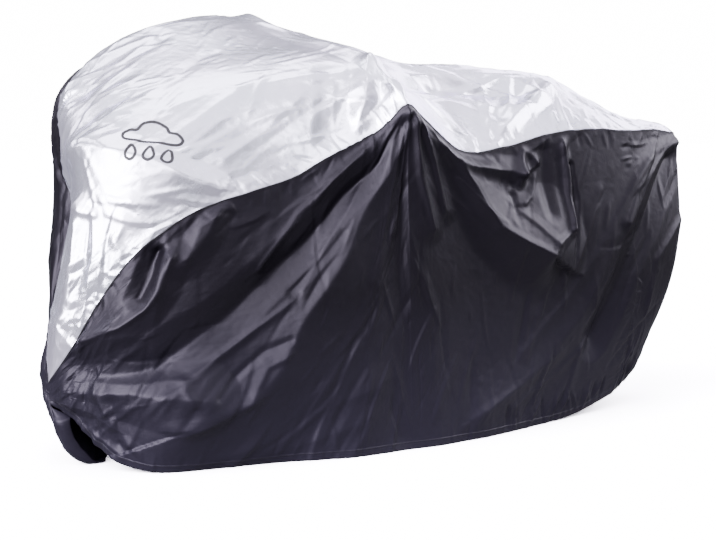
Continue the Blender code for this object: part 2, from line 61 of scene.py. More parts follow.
# The tables give points in the bicycle's frame, in whole millimetres: x from its middle to the
# tail, y to the far side, z up from the floor.
# Sections of the top, nose to tail. Columns: name, then the near seam, the near shoulder, the
# crown, the far shoulder and the far seam.
SECTIONS = metres((
    ("nose tip", (-952, -58, 205), (-952, -58, 205), (-952, -58, 205), (-952, -58, 205),
     (-952, -58, 205)),
    ("low nose", (-918, -135, 300), (-940, -103, 302), (-945, -68, 305), (-940, -33, 303),
     (-930, 2, 300)),
    ("wheel front", (-870, -190, 414), (-915, -139, 425), (-925, -82, 432), (-912, -23, 430),
     (-889, 42, 418)),
    ("wheel brow", (-797, -250, 532), (-872, -183, 552), (-898, -100, 565), (-880, -14, 555),
     (-846, 77, 522)),
    ("front crease", (-660, -288, 628), (-790, -228, 690), (-870, -115, 715), (-857, -9, 705),
     (-822, 99, 645)),
    ("lamp", (-516, -302, 672), (-685, -215, 778), (-812, -85, 822), (-853, 39, 805), (-836, 145, 745)),
    ("low slope", (-386, -300, 709), (-560, -190, 855), (-700, -40, 915), (-803, 105, 905),
     (-834, 184, 852)),
    ("slope", (-286, -312, 762), (-425, -185, 918), (-560, 0, 985), (-703, 167, 997), (-797, 211, 932)),
    ("high slope", (-196, -330, 806), (-300, -185, 962), (-420, 35, 1032), (-560, 232, 1086),
     (-690, 262, 1000)),
    ("bar front", (-150, -352, 842), (-190, -200, 988), (-285, 45, 1058), (-390, 266, 1130),
     (-455, 325, 1060)),
    ("handlebar", (-108, -380, 897), (-100, -200, 1006), (-168, 50, 1066), (-208, 288, 1140),
     (-235, 362, 1085)),
    ("bar back", (-34, -360, 845), (-15, -190, 965), (-10, 70, 1052), (-70, 250, 1070),
     (-90, 358, 1000)),
    ("top tube", (110, -316, 766), (110, -165, 915), (118, 0, 1006), (105, 165, 985), (100, 335, 905)),
    ("mid dip", (270, -288, 776), (270, -140, 918), (262, 0, 1003), (260, 150, 960), (255, 312, 870)),
    ("saddle nose", (435, -270, 810), (435, -115, 935), (430, 0, 997), (435, 125, 955), (430, 282, 862)),
    ("saddle", (600, -250, 823), (595, -90, 938), (590, 0, 979), (595, 100, 938), (600, 252, 856)),
    ("tail seam", (760, -222, 818), (755, -95, 890), (745, 0, 922), (755, 100, 890), (760, 225, 844)),
    ("carrier", (895, -180, 820), (890, -80, 850), (885, 0, 867), (890, 85, 854), (895, 182, 834)),
    ("rear edge", (1009, -140, 811), (1030, -70, 833), (1044, 0, 843), (1032, 70, 838),
     (1012, 142, 823)),
))
# The hem below each section up to the tail seam. Columns: near hem, how far the near skirt stands
# out, far hem, how far the far skirt stands out.
HEMS = metres((
    ((-948, -62, 152), 0, (-948, -62, 152), 0),
    ((-908, -112, 120), 8, (-945, -85, 100), 34),
    ((-872, -163, 60), 22, (-912, -78, 30), 58),
    ((-830, -214, 20), 32, (-862, -78, 0), 78),
    ((-745, -270, 0), 36, (-800, -35, 0), 94),
    ((-600, -294, 0), 36, (-670, 120, 0), 102),
    ((-455, -325, 0), 36, (-525, 222, 0), 105),
    ((-330, -360, 0), 30, (-430, 262, 0), 85),
    ((-225, -378, 0), 20, (-335, 286, 0), 62),
    ((-150, -380, 0), 12, (-235, 303, 0), 40),
    ((-75, -374, 0), 4, (-135, 316, 0), 24),
    ((0, -362, 0), 4, (-25, 323, 0), 18),
    ((120, -338, 0), 12, (110, 318, 0), 20),
    ((265, -304, 0), 24, (262, 292, 0), 28),
    ((420, -252, 0), 40, (420, 256, 0), 40),
    ((590, -204, 10), 56, (590, 210, 10), 54),
    ((748, -168, 46), 66, (748, 172, 46), 64),
))
# The hem round the tail, from the near tail seam to the far one, and how far the tail stands out
TAIL_HEMS = metres((
    ((748, -168, 46), 66),
    ((832, -124, 74), 83),
    ((884, 0, 82), 92),
    ((832, 128, 74), 83),
    ((748, 172, 46), 64),
))
# Folds of the skirt. Columns: name, path as (distance round the skirt from the front join, height),
# rise at the start and at the end of the path, width of a flank at the start and at the end,
# skew (above 0 the flank on the left of the path is wider). A rise below 0 is a hollow.
SKIRT_FOLDS = metres((
    ("grip to wheel crest", ((963, 890), (868, 700), (794, 572), (713, 446), (645, 355), (581, 239),
     (510, 159), (362, 102)), 12, 44, 35, 165, 0.32),
    ("grip to wheel hollow", ((953, 880), (868, 748), (722, 613), (581, 501), (462, 401), (374, 334),
     (286, 263), (125, 226)), -16, -30, 30, 85, 0.0),
    ("long pleat", ((947, 883), (868, 823), (750, 719), (624, 618), (510, 494)), 12, 12, 22, 45, 0.1),
    ("second pleat", ((953, 873), (868, 782), (722, 644), (603, 547)), 9, 7, 18, 35, 0.1),
    ("wheel bulge", ((71, 191), (221, 201), (386, 173)), 20, 30, 55, 90, 0.0),
    ("seam crescent", ((286, 526), (266, 445), (238, 395), (191, 354), (98, 315)), 20, 14, 38, 40, 0.2),
    ("seam slot", ((256, 538), (238, 481), (221, 423)), -16, -12, 26, 30, 0.0),
    ("seam pleat", ((386, 650), (362, 584), (317, 518)), 18, 10, 45, 50, 0.0),
    ("grip to frame crest", ((975, 889), (1023, 848), (1077, 790), (1134, 741), (1181, 675), (1218, 616),
     (1257, 568), (1336, 519), (1417, 484)), 10, 58, 30, 130, 0.45),
    ("grip pleat", ((975, 881), (992, 774), (1039, 570)), 13, 10, 22, 40, 0.2),
    ("second grip pleat", ((986, 881), (1047, 748), (1088, 614)), 13, 9, 20, 35, 0.2),
    ("under the grip", ((953, 851), (937, 495), (931, 29)), -12, -22, 35, 120, 0.0),
    ("frame dart", ((1145, 742), (1257, 721), (1363, 698)), 10, 20, 26, 34, 0.35),
    ("frame dart fall", ((1385, 780), (1376, 740), (1363, 698)), 6, 18, 22, 34, 0.3),
    ("saddle groove", ((1472, 767), (1458, 597)), -7, -9, 30, 35, 0.0),
    ("saddle pleat", ((1529, 795), (1546, 687), (1534, 557)), 10, 12, 24, 26, 0.2),
    ("saddle slot", ((1562, 722), (1575, 621), (1549, 449), (1546, 390)), -22, 0, 13, 12, 0.0),
    ("rear corner crest", ((1966, 799), (1868, 729), (1795, 622), (1687, 444), (1616, 330), (1529, 238),
     (1376, 151), (1231, 70)), 6, 14, 30, 85, 0.1),
    ("rear corner pleat", ((1981, 795), (1888, 697), (1841, 617), (1781, 556)), 4, 9, 22, 35, 0.0),
    ("rear corner hollow", ((1949, 732), (1835, 532), (1755, 369), (1673, 232)), -14, -28, 35, 70, 0.0),
    ("tail crest", ((1985, 780), (2087, 489), (2050, 231), (1980, 120)), 5, 14, 40, 60, 0.0),
    ("tail hollow", ((2070, 740), (2180, 450), (2160, 200)), -12, -12, 50, 70, 0.0),
    ("tail middle crest", ((2190, 790), (2270, 450), (2230, 120)), 12, 17, 45, 80, 0.0),
    ("far tail crest", ((2330, 790), (2420, 480), (2560, 120)), 17, 14, 45, 80, 0.0),
    ("far corner crest", ((2350, 780), (2560, 560), (2760, 330), (2960, 80)), 20, 20, 50, 100, 0.0),
    ("far corner hollow", ((2420, 740), (2640, 600), (2860, 420), (3020, 250)), -14, -20, 50, 80, 0.0),
    ("far grip to frame", ((3270, 1030), (3120, 780), (2960, 590)), 20, 29, 50, 110, 0.0),
    ("far grip hollow", ((3300, 1020), (3230, 660), (3180, 200)), -14, -23, 50, 110, 0.0),
    ("far grip fall", ((3340, 1040), (3360, 640), (3340, 60)), 20, 23, 50, 110, 0.0),
    ("far wheel hollow", ((3400, 1020), (3520, 700), (3680, 400)), -17, -26, 50, 100, 0.0),
    ("far wheel crest", ((3440, 1020), (3640, 700), (3850, 420), (4020, 250)), 17, 26, 50, 100, 0.0),
    ("far seam roll", ((3560, 990), (3630, 962), (3745, 892), (3860, 812), (3970, 710)),
     30, 10, 38, 30, 0.0),
    ("far low crest", ((3560, 260), (3820, 130), (4060, 110)), 20, 17, 90, 70, 0.0),
))
# Folds of the top. Columns as above, with the path in x, y, z.
TOP_FOLDS = metres((
    ("bar ridge", ((-208, 288, 1140), (-190, 110, 1085), (-150, -60, 1040), (-115, -195, 1005),
     (-112, -280, 958), (-108, -370, 900)), 3, 17, 50, 40, 0.0),
    ("far grip to saddle", ((-200, 280, 1135), (-30, 130, 1073), (118, 0, 1005), (350, 0, 1001)),
     4, 3, 60, 60, 0.0),
    ("behind the bar", ((-80, -260, 960), (60, -160, 950), (200, -115, 942), (435, -120, 930)),
     -17, -23, 50, 70, 0.0),
    ("brow crest", ((-867, -52, 772), (-820, -147, 766), (-705, -248, 720), (-600, -285, 680)),
     23, 14, 90, 50, 0.0),
    ("nose crest", ((-893, -120, 640), (-931, -115, 416), (-950, -90, 300)), 17, 9, 40, 30, 0.0),
    ("near bar pleat", ((-127, -211, 996), (-213, -314, 819)), 14, 20, 40, 50, 0.0),
    ("near bar hollow", ((-230, -200, 965), (-275, -303, 790)), -9, -14, 50, 55, 0.0),
    ("far brow hollow", ((-790, 110, 925), (-550, 187, 1071)), -14, -9, 50, 60, 0.0),
    ("saddle", ((560, 0, 985), (650, 0, 965)), 4, 8, 90, 100, 0.0),
    ("saddle to seam", ((600, -70, 955), (300, -235, 825)), 14, 12, 50, 50, 0.0),
    ("far saddle to seam", ((560, 80, 950), (240, 260, 900)), 14, 12, 50, 50, 0.0),
    ("saddle to carrier", ((664, -105, 905), (871, -139, 837)), -14, -9, 40, 40, 0.0),
))
# Finer folds of the skirt and of the top, as in the tables above
SKIRT_CREASES = metres((
    ("shelf crease", ((604, 406), (510, 341), (399, 267), (339, 227), (339, 201), (362, 166)),
     4, 5, 12, 14, 0.4),
    ("shelf top edge", ((109, 216), (221, 218), (328, 230)), 6, 8, 30, 30, -0.5),
    ("shelf lower crease", ((604, 312), (534, 286), (462, 223), (424, 181)), -4, -4, 14, 14, 0.0),
    ("shelf end crease", ((593, 269), (546, 247), (522, 194), (510, 159)), 5, 4, 20, 18, -0.5),
    ("shelf foot crease", ((522, 165), (449, 133), (386, 108), (328, 105)), 5, 5, 22, 22, -0.4),
    ("bulge dent", ((184, 174), (198, 131), (205, 73)), -6, -8, 22, 26, 0.0),
    ("bulge crease", ((142, 197), (172, 139), (229, 69)), 5, 4, 20, 18, 0.4),
    ("low band", ((437, 17), (593, 64), (687, 123), (860, 177)), 5, 4, 50, 45, 0.4),
    ("second low band", ((498, 6), (657, 42), (813, 86)), 4, 3, 40, 40, 0.4),
    ("nose crease", ((30, 161), (125, 145), (198, 103)), 5, 4, 18, 18, 0.4),
    ("second nose crease", ((47, 133), (125, 94), (205, 48)), 4, 4, 16, 16, -0.4),
    ("third nose crease", ((205, 81), (256, 52), (286, 14)), 4, 4, 14, 14, 0.4),
    ("crescent edge", ((286, 526), (266, 445), (238, 395), (191, 353), (103, 316)), 4, 3, 12, 14, -0.4),
    ("crescent slot", ((256, 538), (247, 479), (229, 425)), -10, -6, 12, 12, 0.0),
    ("seam patch", ((386, 645), (339, 591), (317, 518)), 6, 4, 16, 18, 0.5),
    ("second seam patch", ((339, 628), (306, 579), (296, 512)), -4, -3, 14, 16, 0.0),
    ("thin ridge", ((965, 890), (871, 823), (753, 719), (615, 620), (510, 494)), 4, 4, 10, 14, 0.5),
    ("second thin ridge", ((938, 873), (829, 783), (725, 701), (667, 639)), 3, 3, 10, 12, -0.5),
    ("third thin ridge", ((923, 845), (829, 702), (716, 553), (636, 430)), 3, 4, 10, 16, 0.4),
    ("shelf inner crease", ((753, 571), (687, 499), (604, 429)), -3, -4, 14, 18, 0.0),
    ("peak pleat", ((965, 882), (949, 750), (917, 570)), 6, 4, 12, 18, -0.4),
    ("peak fall", ((977, 874), (994, 709), (1041, 570)), 7, 4, 12, 16, 0.5),
    ("second peak fall", ((988, 873), (1050, 741), (1080, 613)), 7, 4, 12, 14, 0.5),
    ("third peak fall", ((949, 824), (896, 650), (842, 445)), 4, 3, 14, 24, 0.4),
    ("crest welt", ((988, 881), (1080, 790), (1185, 675), (1248, 567), (1421, 484)), 4, 4, 10, 14, 0.5),
    ("crest inner crease", ((1137, 696), (1210, 622), (1274, 582)), 4, 3, 10, 12, -0.5),
    ("facet crease", ((1313, 626), (1394, 566), (1448, 515)), 3, 3, 18, 18, 0.5),
    ("facet edge", ((1448, 515), (1504, 535), (1533, 551)), 6, 6, 20, 16, -0.5),
    ("dart lit facet", ((1380, 773), (1407, 760), (1435, 733)), 5, 4, 14, 14, 0.4),
    ("dart tip", ((1435, 733), (1407, 714), (1367, 698)), 5, 6, 14, 14, -0.4),
    ("under dart slot", ((1327, 647), (1327, 614), (1353, 618)), -7, -6, 14, 12, 0.0),
    ("under dart crest", ((1353, 618), (1394, 645), (1421, 690)), 6, 4, 16, 16, 0.4),
    ("saddle strip", ((1533, 802), (1533, 686), (1533, 564)), 5, 4, 12, 12, 0.6),
    ("slot lip", ((1547, 721), (1547, 626), (1533, 544)), 4, 4, 8, 8, 0.3),
    ("rear corner ridge", ((1975, 799), (2034, 631), (1897, 446), (1891, 313)), 6, 6, 18, 26, 0.5),
    ("rear corner thin ridge", ((1969, 799), (1832, 657), (1772, 558)), 5, 3, 12, 14, 0.5),
    ("second thin corner ridge", ((1987, 791), (1891, 687), (1852, 582)), 4, 3, 12, 14, -0.5),
    ("rear dark crease", ((1772, 492), (1718, 368), (1690, 250)), -5, -4, 26, 30, 0.0),
    ("rear long streak", ((1871, 737), (1690, 527), (1533, 354), (1367, 222)), 4, 3, 16, 22, 0.5),
    ("second rear streak", ((1677, 654), (1606, 515), (1504, 379)), 3, 3, 18, 22, -0.4),
    ("third rear streak", ((1519, 211), (1367, 131), (1173, 57)), 5, 4, 24, 30, 0.5),
    ("hem streak", ((1649, 232), (1533, 150), (1340, 71)), 4, 3, 16, 18, 0.4),
))
TOP_CREASES = metres((
    ("bar welt", ((-218, 191, 1114), (-160, 77, 1072), (-152, -66, 1039), (-117, -189, 1007),
     (-115, -275, 958), (-109, -343, 916)), 5, 4, 16, 14, 0.3),
    ("bar trough", ((-140, 118, 1081), (-123, -104, 1033), (-100, -180, 1000), (-78, -248, 971)),
     -6, -4, 30, 24, 0.0),
    ("roof edge", ((-860, -46, 771), (-818, -148, 766), (-766, -205, 749), (-705, -247, 720),
     (-596, -285, 679)), 10, 4, 50, 40, 0.5),
    ("brow triangle", ((-556, 173, 1064), (-653, 132, 1008), (-747, 106, 949), (-796, 139, 921)),
     6, 8, 35, 40, -0.5),
    ("brow triangle top", ((-551, 187, 1072), (-641, 190, 1038), (-719, 200, 995)), 4, 5, 20, 20, 0.3),
    ("slope streak", ((-802, -55, 848), (-703, -69, 897), (-582, -27, 966)), 4, 3, 30, 25, 0.5),
    ("second slope streak", ((-732, -196, 777), (-597, -180, 853), (-463, -152, 933)),
     3, 3, 30, 30, -0.5),
    ("third slope streak", ((-569, -252, 755), (-430, -237, 834), (-330, -223, 909)), 3, 3, 30, 28, 0.5),
    ("slope trough", ((-660, -252, 729), (-512, -232, 805), (-377, -234, 870)), -4, -3, 30, 30, 0.0),
    ("slope hollow", ((-742, -37, 895), (-612, -44, 948), (-443, 31, 1026)), -4, -3, 35, 30, 0.0),
    ("front pinch", ((-887, -91, 642), (-884, -128, 627), (-870, -164, 622)), 6, 5, 14, 14, 0.3),
    ("front upright", ((-872, -159, 623), (-879, -176, 542), (-892, -168, 441), (-907, -151, 347)),
     6, 4, 18, 16, 0.4),
    ("second upright", ((-890, -119, 602), (-904, -128, 516), (-921, -128, 416)), 6, 3, 14, 12, -0.3),
    ("low upright", ((-870, -192, 515), (-880, -181, 395), (-911, -145, 318)), 4, 3, 14, 12, 0.3),
    ("front fold", ((-803, -229, 655), (-777, -247, 616), (-745, -269, 576)), 5, 4, 22, 18, 0.4),
    ("second front fold", ((-844, -209, 569), (-829, -224, 540), (-827, -230, 506)), 4, 3, 14, 12, -0.4),
    ("near grip tuck", ((-127, -211, 996), (-177, -286, 907), (-211, -309, 830)), 7, 6, 22, 26, 0.5),
    ("near grip trough", ((-181, -228, 970), (-220, -273, 889), (-234, -310, 808)), -5, -5, 22, 24, 0.0),
    ("second grip tuck", ((-238, -232, 940), (-261, -272, 863), (-275, -303, 790)), 5, 4, 20, 22, -0.4),
    ("grip pinch", ((-134, -347, 877), (-154, -350, 838), (-181, -335, 815)), 6, 5, 12, 14, 0.4),
    ("second grip pinch", ((-162, -333, 850), (-186, -328, 823), (-208, -327, 799)),
     -4, -4, 12, 12, 0.0),
    ("behind grip tuck", ((41, -205, 919), (97, -222, 870), (162, -275, 793)), 6, 4, 22, 24, 0.4),
    ("behind grip hollow", ((136, -122, 942), (243, -166, 898), (311, -207, 856)), -5, -4, 30, 30, 0.0),
    ("dip crest", ((176, -36, 993), (295, -88, 958), (435, -129, 925), (516, -136, 915)),
     6, 5, 26, 28, -0.5),
    ("dip facet", ((568, -92, 941), (394, -188, 878), (270, -258, 805)), 6, 5, 30, 26, 0.4),
    ("saddle pucker", ((503, -196, 870), (490, -223, 849), (476, -249, 828)), 4, 3, 10, 10, 0.3),
    ("second saddle pucker", ((571, -177, 879), (558, -214, 853), (532, -259, 820)), 4, 3, 10, 10, -0.3),
    ("third saddle pucker", ((638, -163, 880), (612, -207, 853), (586, -252, 823)), 3, 3, 10, 10, 0.3),
    ("tail fold", ((664, -117, 905), (732, -152, 865), (861, -152, 834)), 6, 5, 20, 22, 0.4),
))
SEAM_CALM = 0.05          # folds fade out over this share of the skirt's drop next to the seam
EDGE_CALM = 0.35          # and over this many spans of the top next to a seam
JOIN_CALM = 0.05          # and over this distance next to the front join
CREST_ROUND = 0.06        # roundness of a fold's crest, as a share of its flank
FLANK_POWER = 1.15        # above 1 a fold's flanks are hollow
STEEP_REACH = 1.7         # the steep flank of a skewed fold runs out this much farther
STEEP_POWER = 2.0         # and is this hollow
WANDER = 0.012            # how far the folds wander from their paths
WANDER_SIZE = 0.16        # distance over which they do
WANDER_SEED = 3           # fixes that noise, which would otherwise start from the clock
NOISE_STEP = 4            # cells between two readings of a soft noise


def ease(share):
    """Smooth step from 0 to 1."""
    share = np.clip(share, 0, 1)
    return share * share * (3 - 2 * share)


def finer(grid, factor):
    """A grid with factor times as many cells each way, read straight between the points."""
    for axis in (0, 1):
        count = grid.shape[axis]
        at = np.linspace(0, count - 1, (count - 1) * factor + 1)
        low = np.minimum(at.astype(int), count - 2)
        share = (at - low).reshape([-1 if place == axis else 1 for place in range(grid.ndim)])
        grid = np.take(grid, low, axis) * (1 - share) + np.take(grid, low + 1, axis) * share
    return grid


def spline(rows, at, corners=()):
    """Smooth curve through rows 0, 1, 2... read at fractional row numbers, bent at the corners."""
    rows = np.asarray(rows, float)
    at = np.asarray(at, float)
    first = np.clip(np.floor(at).astype(int), 0, len(rows) - 2)
    part = (at - first)[:, None]
    leaving = np.gradient(rows, axis=0)
    arriving = leaving.copy()
    for corner in corners:
        leaving[corner] = rows[corner + 1] - rows[corner]
        arriving[corner] = rows[corner] - rows[corner - 1]
    cube, square = part ** 3, part ** 2
    return ((2 * cube - 3 * square + 1) * rows[first] + (cube - 2 * square + part) * leaving[first]
            + (3 * square - 2 * cube) * rows[first + 1] + (cube - square) * arriving[first + 1])


def top_surface(at, steps_across):
    """Grid of the silver top: a row per section number in at, near seam to far seam."""
    lines = [spline(line, at, (CORNER_SECTION,)) for line in zip(*[row[1:] for row in SECTIONS])]
    across = np.linspace(0, SPANS, steps_across + 1)
    return np.stack([spline(section, across) for section in np.stack(lines, 1)])


def skirt_ring(top, side_steps):
    """Seam, hem and stand-out of the skirt, column by column round the whole cover.

    The ring starts at the front join under the nose, follows the near side to the tail, turns
    round the tail and comes back along the far side to the front join.
    """
    side_at = np.linspace(0, TAIL_SECTION, side_steps + 1)
    tail_steps = len(top) - 1 - side_steps
    across_steps = top.shape[1] - 1
    near_hem = spline([row[0] + (row[1],) for row in HEMS], side_at)
    far_hem = spline([row[2] + (row[3],) for row in HEMS], side_at)
    tail_at = np.concatenate([np.linspace(0, 1, tail_steps + 1)[1:],
                              np.linspace(1, 3, across_steps + 1)[1:],
                              np.linspace(3, 4, tail_steps + 1)[1:-1]])
    tail_hem = spline([row[0] + (row[1],) for row in TAIL_HEMS], tail_at)
    seam = np.concatenate([top[:, 0], top[-1, 1:], top[-2::-1, -1]])
    hem = np.concatenate([near_hem, tail_hem, far_hem[::-1]])
    hem[:, 2] = np.maximum(hem[:, 2], 0)
    return seam, hem[:, :3], hem[:, 3]


def plan(seam, hem):
    """The skirt's line seen from above, between its seam and its hem."""
    return (SEAM_SHARE * seam + HEM_SHARE * hem)[:, :2]


def outward(seam, hem):
    """Level direction that faces out of the skirt at each column of the ring."""
    run = np.gradient(plan(seam, hem), axis=0)
    for _ in range(PLAN_ROUNDS):
        run[1:-1] = (run[:-2] + 2 * run[1:-1] + run[2:]) / 4
    facing = np.stack([run[:, 1], -run[:, 0], np.zeros(len(run))], 1)
    return facing / np.linalg.norm(facing, axis=1)[:, None]


def skirt_surface(seam, hem, stand_out, steps_down):
    """Grid of the skirt: a column per place on the ring, seam to hem."""
    down = np.linspace(0, 1, steps_down + 1)[None, :, None]
    facing = outward(seam, hem)[:, None, :]
    swell = np.sin(math.pi * down ** BULGE_SKEW) * stand_out[:, None, None]
    return seam[:, None, :] + (hem - seam)[:, None, :] * down + facing * swell


def dot(vectors, direction):
    """Dot product of each vector with a direction, added up in a fixed order.

    Buckling cloth makes much of the smallest difference, so the last digit has to repeat.
    """
    return sum(vectors[..., axis] * direction[axis] for axis in range(len(direction)))


def along_path(points, path):
    """Distance from points to a path, place along it from 0 to 1, and side of it in plan."""
    path = np.asarray(path, float)
    lengths = np.linalg.norm(np.diff(path, axis=0), axis=1)
    starts = np.concatenate([[0], np.cumsum(lengths)]) / lengths.sum()
    nearest = np.full(points.shape[:-1], np.inf)
    place = np.zeros_like(nearest)
    side = np.zeros_like(nearest)
    for start, end, length, begun in zip(path[:-1], path[1:], lengths, starts):
        run = end - start
        share = np.clip(dot(points - start, run) / length ** 2, 0, 1)
        away = points - start - share[..., None] * run
        distance = np.linalg.norm(away, axis=-1)
        closer = distance < nearest
        nearest = np.where(closer, distance, nearest)
        place = np.where(closer, begun + share * length / lengths.sum(), place)
        side = np.where(closer, np.sign(run[0] * away[..., 1] - run[1] * away[..., 0]), side)
    return nearest, place, side


def fold_lift(points, folds):
    """How far the folds lift each point off the smooth surface."""
    lift = np.zeros(points.shape[:-1])
    for _, path, rise_start, rise_end, wide_start, wide_end, skew in folds:
        reach = max(wide_start, wide_end) * (1 + abs(skew)) * STEEP_REACH
        low, high = np.min(path, axis=0) - reach, np.max(path, axis=0) + reach
        near = np.all((points > low) & (points < high), axis=-1)
        distance, place, side = along_path(points[near], path)
        steep = side * skew < 0
        width = (wide_start + (wide_end - wide_start) * place) * (1 + skew * side)
        width = width * np.where(steep, STEEP_REACH, 1)
        rise = rise_start + (rise_end - rise_start) * place
        slope = np.sqrt((distance / width) ** 2 + CREST_ROUND ** 2) - CREST_ROUND
        lift[near] += rise * np.clip(1 - slope, 0, 1) ** np.where(steep, STEEP_POWER, FLANK_POWER)
    return lift


def wandering(points):
    """The points shifted by a soft noise, so that folds read at them wander a little."""
    noise.seed_set(WANDER_SEED)
    coarse = points[::NOISE_STEP, ::NOISE_STEP]
    shift = np.array([[noise.noise_vector(Vector((*point, 0, 0)[:3]) / WANDER_SIZE)
                       for point in row] for row in coarse.tolist()])
    shift = finer(shift, NOISE_STEP)[:len(points), :points.shape[1], :points.shape[-1]]
    return points + WANDER * shift


def top_normals(grid):
    """Unit normals of the top, whose first row is the single point of the nose."""
    facing = np.cross(np.gradient(grid, axis=0), np.gradient(grid, axis=1))
    length = np.linalg.norm(facing, axis=-1)
    facing[0] = facing[1]
    length[0] = length[1]
    return facing / length[..., None]


def folded_top(rows, steps_across):
    """The silver top with its folds."""
    ahead = np.linspace(0, REAR_SECTION, rows + 1)
    across = np.linspace(0, SPANS, steps_across + 1)
    smooth = top_surface(ahead, steps_across)
    calm = ease(np.minimum(across, SPANS - across) / EDGE_CALM)[None, :]
    calm = calm * ease(ahead)[:, None] * ease(REAR_SECTION - ahead)[:, None]
    lift = fold_lift(wandering(smooth), TOP_FOLDS) + fold_lift(smooth, TOP_CREASES)
    return smooth + top_normals(smooth) * (lift * calm)[..., None]


def folded_skirt(top, side_steps, steps_down):
    """The skirt with its folds, hung from the edge of the top."""
    seam, hem, stand_out = skirt_ring(top, side_steps)
    smooth = skirt_surface(seam, hem, stand_out, steps_down)
    steps = np.linalg.norm(np.diff(plan(seam, hem), axis=0), axis=1)
    around = np.concatenate([[0], np.cumsum(steps)])
    unrolled = np.stack(np.broadcast_arrays(around[:, None], smooth[..., 2]), -1)
    calm = ease(np.linspace(0, 1, steps_down + 1) / SEAM_CALM)[None, :]
    join = ease(np.minimum(around, around[-1] - around) / JOIN_CALM)[:, None]
    lift = fold_lift(wandering(unrolled), SKIRT_FOLDS) + fold_lift(unrolled, SKIRT_CREASES)
    return smooth + outward(seam, hem)[:, None, :] * (lift * calm * join)[..., None]


# ---------------------------------------------------------------------------- crumpled cloth

# Crumpling, coarse to fine. Columns: cells to a step, stiffness, hold on the smooth shape,
# rounds, roughness at the start in metres.
CRINKLE_LEVELS = (
    (4, 0.60, 0.006, 240, 0.0040),
    (2, 0.50, 0.006, 140, 0.0006),
    (1, 0.50, 0.006, 60, 0.0001),
)
STEP_SHARE = 0.22         # of the pull on a point, the share that it moves by in one round
SPARE = {"top": (0.05, 0.085), "skirt": (0.03, 0.10)}   # root of the spare length, least and most
SPARE_SIZE = 0.30         # distance over which the spare length changes
SPARE_CONTRAST = 1.1
HELD_CELLS = 3            # cells next to a seam over which the crumpling fades in
NOSE_CELLS = 40           # and next to the nose
TINY = 1e-9               # keeps a length from being 0

# Places that the cloth hangs from in the bicycle's frame. Columns: x, y, z, strength.
TOP_HANGERS = (
    (-0.208, 0.288, 1.140, 1.0), (-0.108, -0.375, 0.897, 0.7), (0.590, 0.000, 0.985, 0.8),
    (1.010, -0.140, 0.815, 0.4), (1.010, 0.140, 0.820, 0.4), (-0.940, -0.060, 0.350, 0.3),
)
SKIRT_HANGERS = (
    (-0.108, -0.380, 0.897, 1.0), (-0.235, 0.362, 1.085, 1.0), (1.009, -0.140, 0.811, 0.9),
    (1.012, 0.142, 0.823, 0.9), (0.560, -0.260, 0.850, 0.15),
)
HANGER_REACH = 0.18       # places closer than this to a hanger follow it alone
HANGER_ROUND = 0.02       # and its pull is evened out over this distance

CREASES = {"top": 560, "skirt": 760}      # fine creases on each
CREASE_TURN = 0.28        # spread of their directions about the pull, in radians
CREASE_LENGTH = (0.030, 0.300)
CREASE_WIDTH = (0.008, 0.032)
CREASE_RISE = 0.16        # of a crease's width
CREASE_SIDES = (-1, 1, 1)                 # two ridges to one trough
CREASE_SKEW = 0.6         # greatest skew
CREASE_BEND = 0.10        # how far a skewed crease bends, as a share of its length
CREASE_DEPTH = 0.10       # cloth farther than this off the crease's own plane stays out of it
CREASE_POWER = 1.5        # above 1 most creases are short
LEAST_RISE = 0.4          # share of the rise that every crease has
LEAST_FREE = 0.5          # creases start only where the cloth is at least this free
CELL = 0.0040             # about the least spacing of the fine grids

# Creases sewn in along the edges. Columns: grid, edge, cells inside it, where they start and end as
# shares of the edge, spacing, length, width, rise, spread of direction.
PUCKERS = (
    ("top", "left", 5, 0.05, 0.97, 0.036, 0.055, 0.009, 0.0022, 0.45),
    ("top", "right", 5, 0.05, 0.97, 0.036, 0.055, 0.009, 0.0022, 0.45),
    ("skirt", "top", 6, 0.02, 0.98, 0.046, 0.060, 0.011, 0.0018, 0.45),
    ("side_near", "right", 4, 0.02, 0.14, 0.024, 0.050, 0.009, 0.0020, 0.70),
    ("side_near", "right", 4, 0.30, 0.97, 0.034, 0.036, 0.007, 0.0012, 0.45),
    ("tail", "left", 4, 0.02, 0.14, 0.024, 0.050, 0.009, 0.0020, 0.70),
    ("tail", "left", 4, 0.50, 0.97, 0.024, 0.036, 0.007, 0.0018, 0.45),
    ("tail", "right", 4, 0.04, 0.97, 0.030, 0.040, 0.007, 0.0014, 0.45),
    ("side_far", "left", 4, 0.04, 0.97, 0.030, 0.040, 0.007, 0.0014, 0.45),
    ("side_near", "bottom", 12, 0.80, 0.99, 0.020, 0.085, 0.010, 0.0042, 0.30),
    ("tail", "bottom", 12, 0.01, 0.99, 0.022, 0.085, 0.010, 0.0042, 0.30),
    ("side_far", "bottom", 12, 0.01, 0.20, 0.022, 0.085, 0.010, 0.0042, 0.30),
    ("side_near", "bottom", 8, 0.05, 0.30, 0.034, 0.060, 0.009, 0.0014, 0.45),
    ("side_near", "left", 8, 0.10, 0.90, 0.024, 0.045, 0.007, 0.0012, 0.50),
)
# How far each differs from its row of the table, as shares, and its greatest skew
PUCKER_SIZES = (0.5, 1.3)
PUCKER_WIDTHS = (0.7, 1.3)
PUCKER_SPACING = (0.4, 1.6)
PUCKER_SKEW = 0.5
SEAM_WOBBLE = ((0.050, 0.0018), (0.018, 0.0007))        # length and height of its waves
SEAM_CELLS = 8            # cells inside a seam over which its wobble fades
SEAM_ENDS = (40, 25)      # and along it, at the nose and at the rear edge
GATHERED = (-0.190, -0.335, 0.810, 0.110, 0.0070, 0.014)   # x, y, z, reach, height, wave length
BLUNT = (-0.108, -0.380, 0.897, 0.022, 0.009)           # x, y, z, reach and drop of the near grip's tip


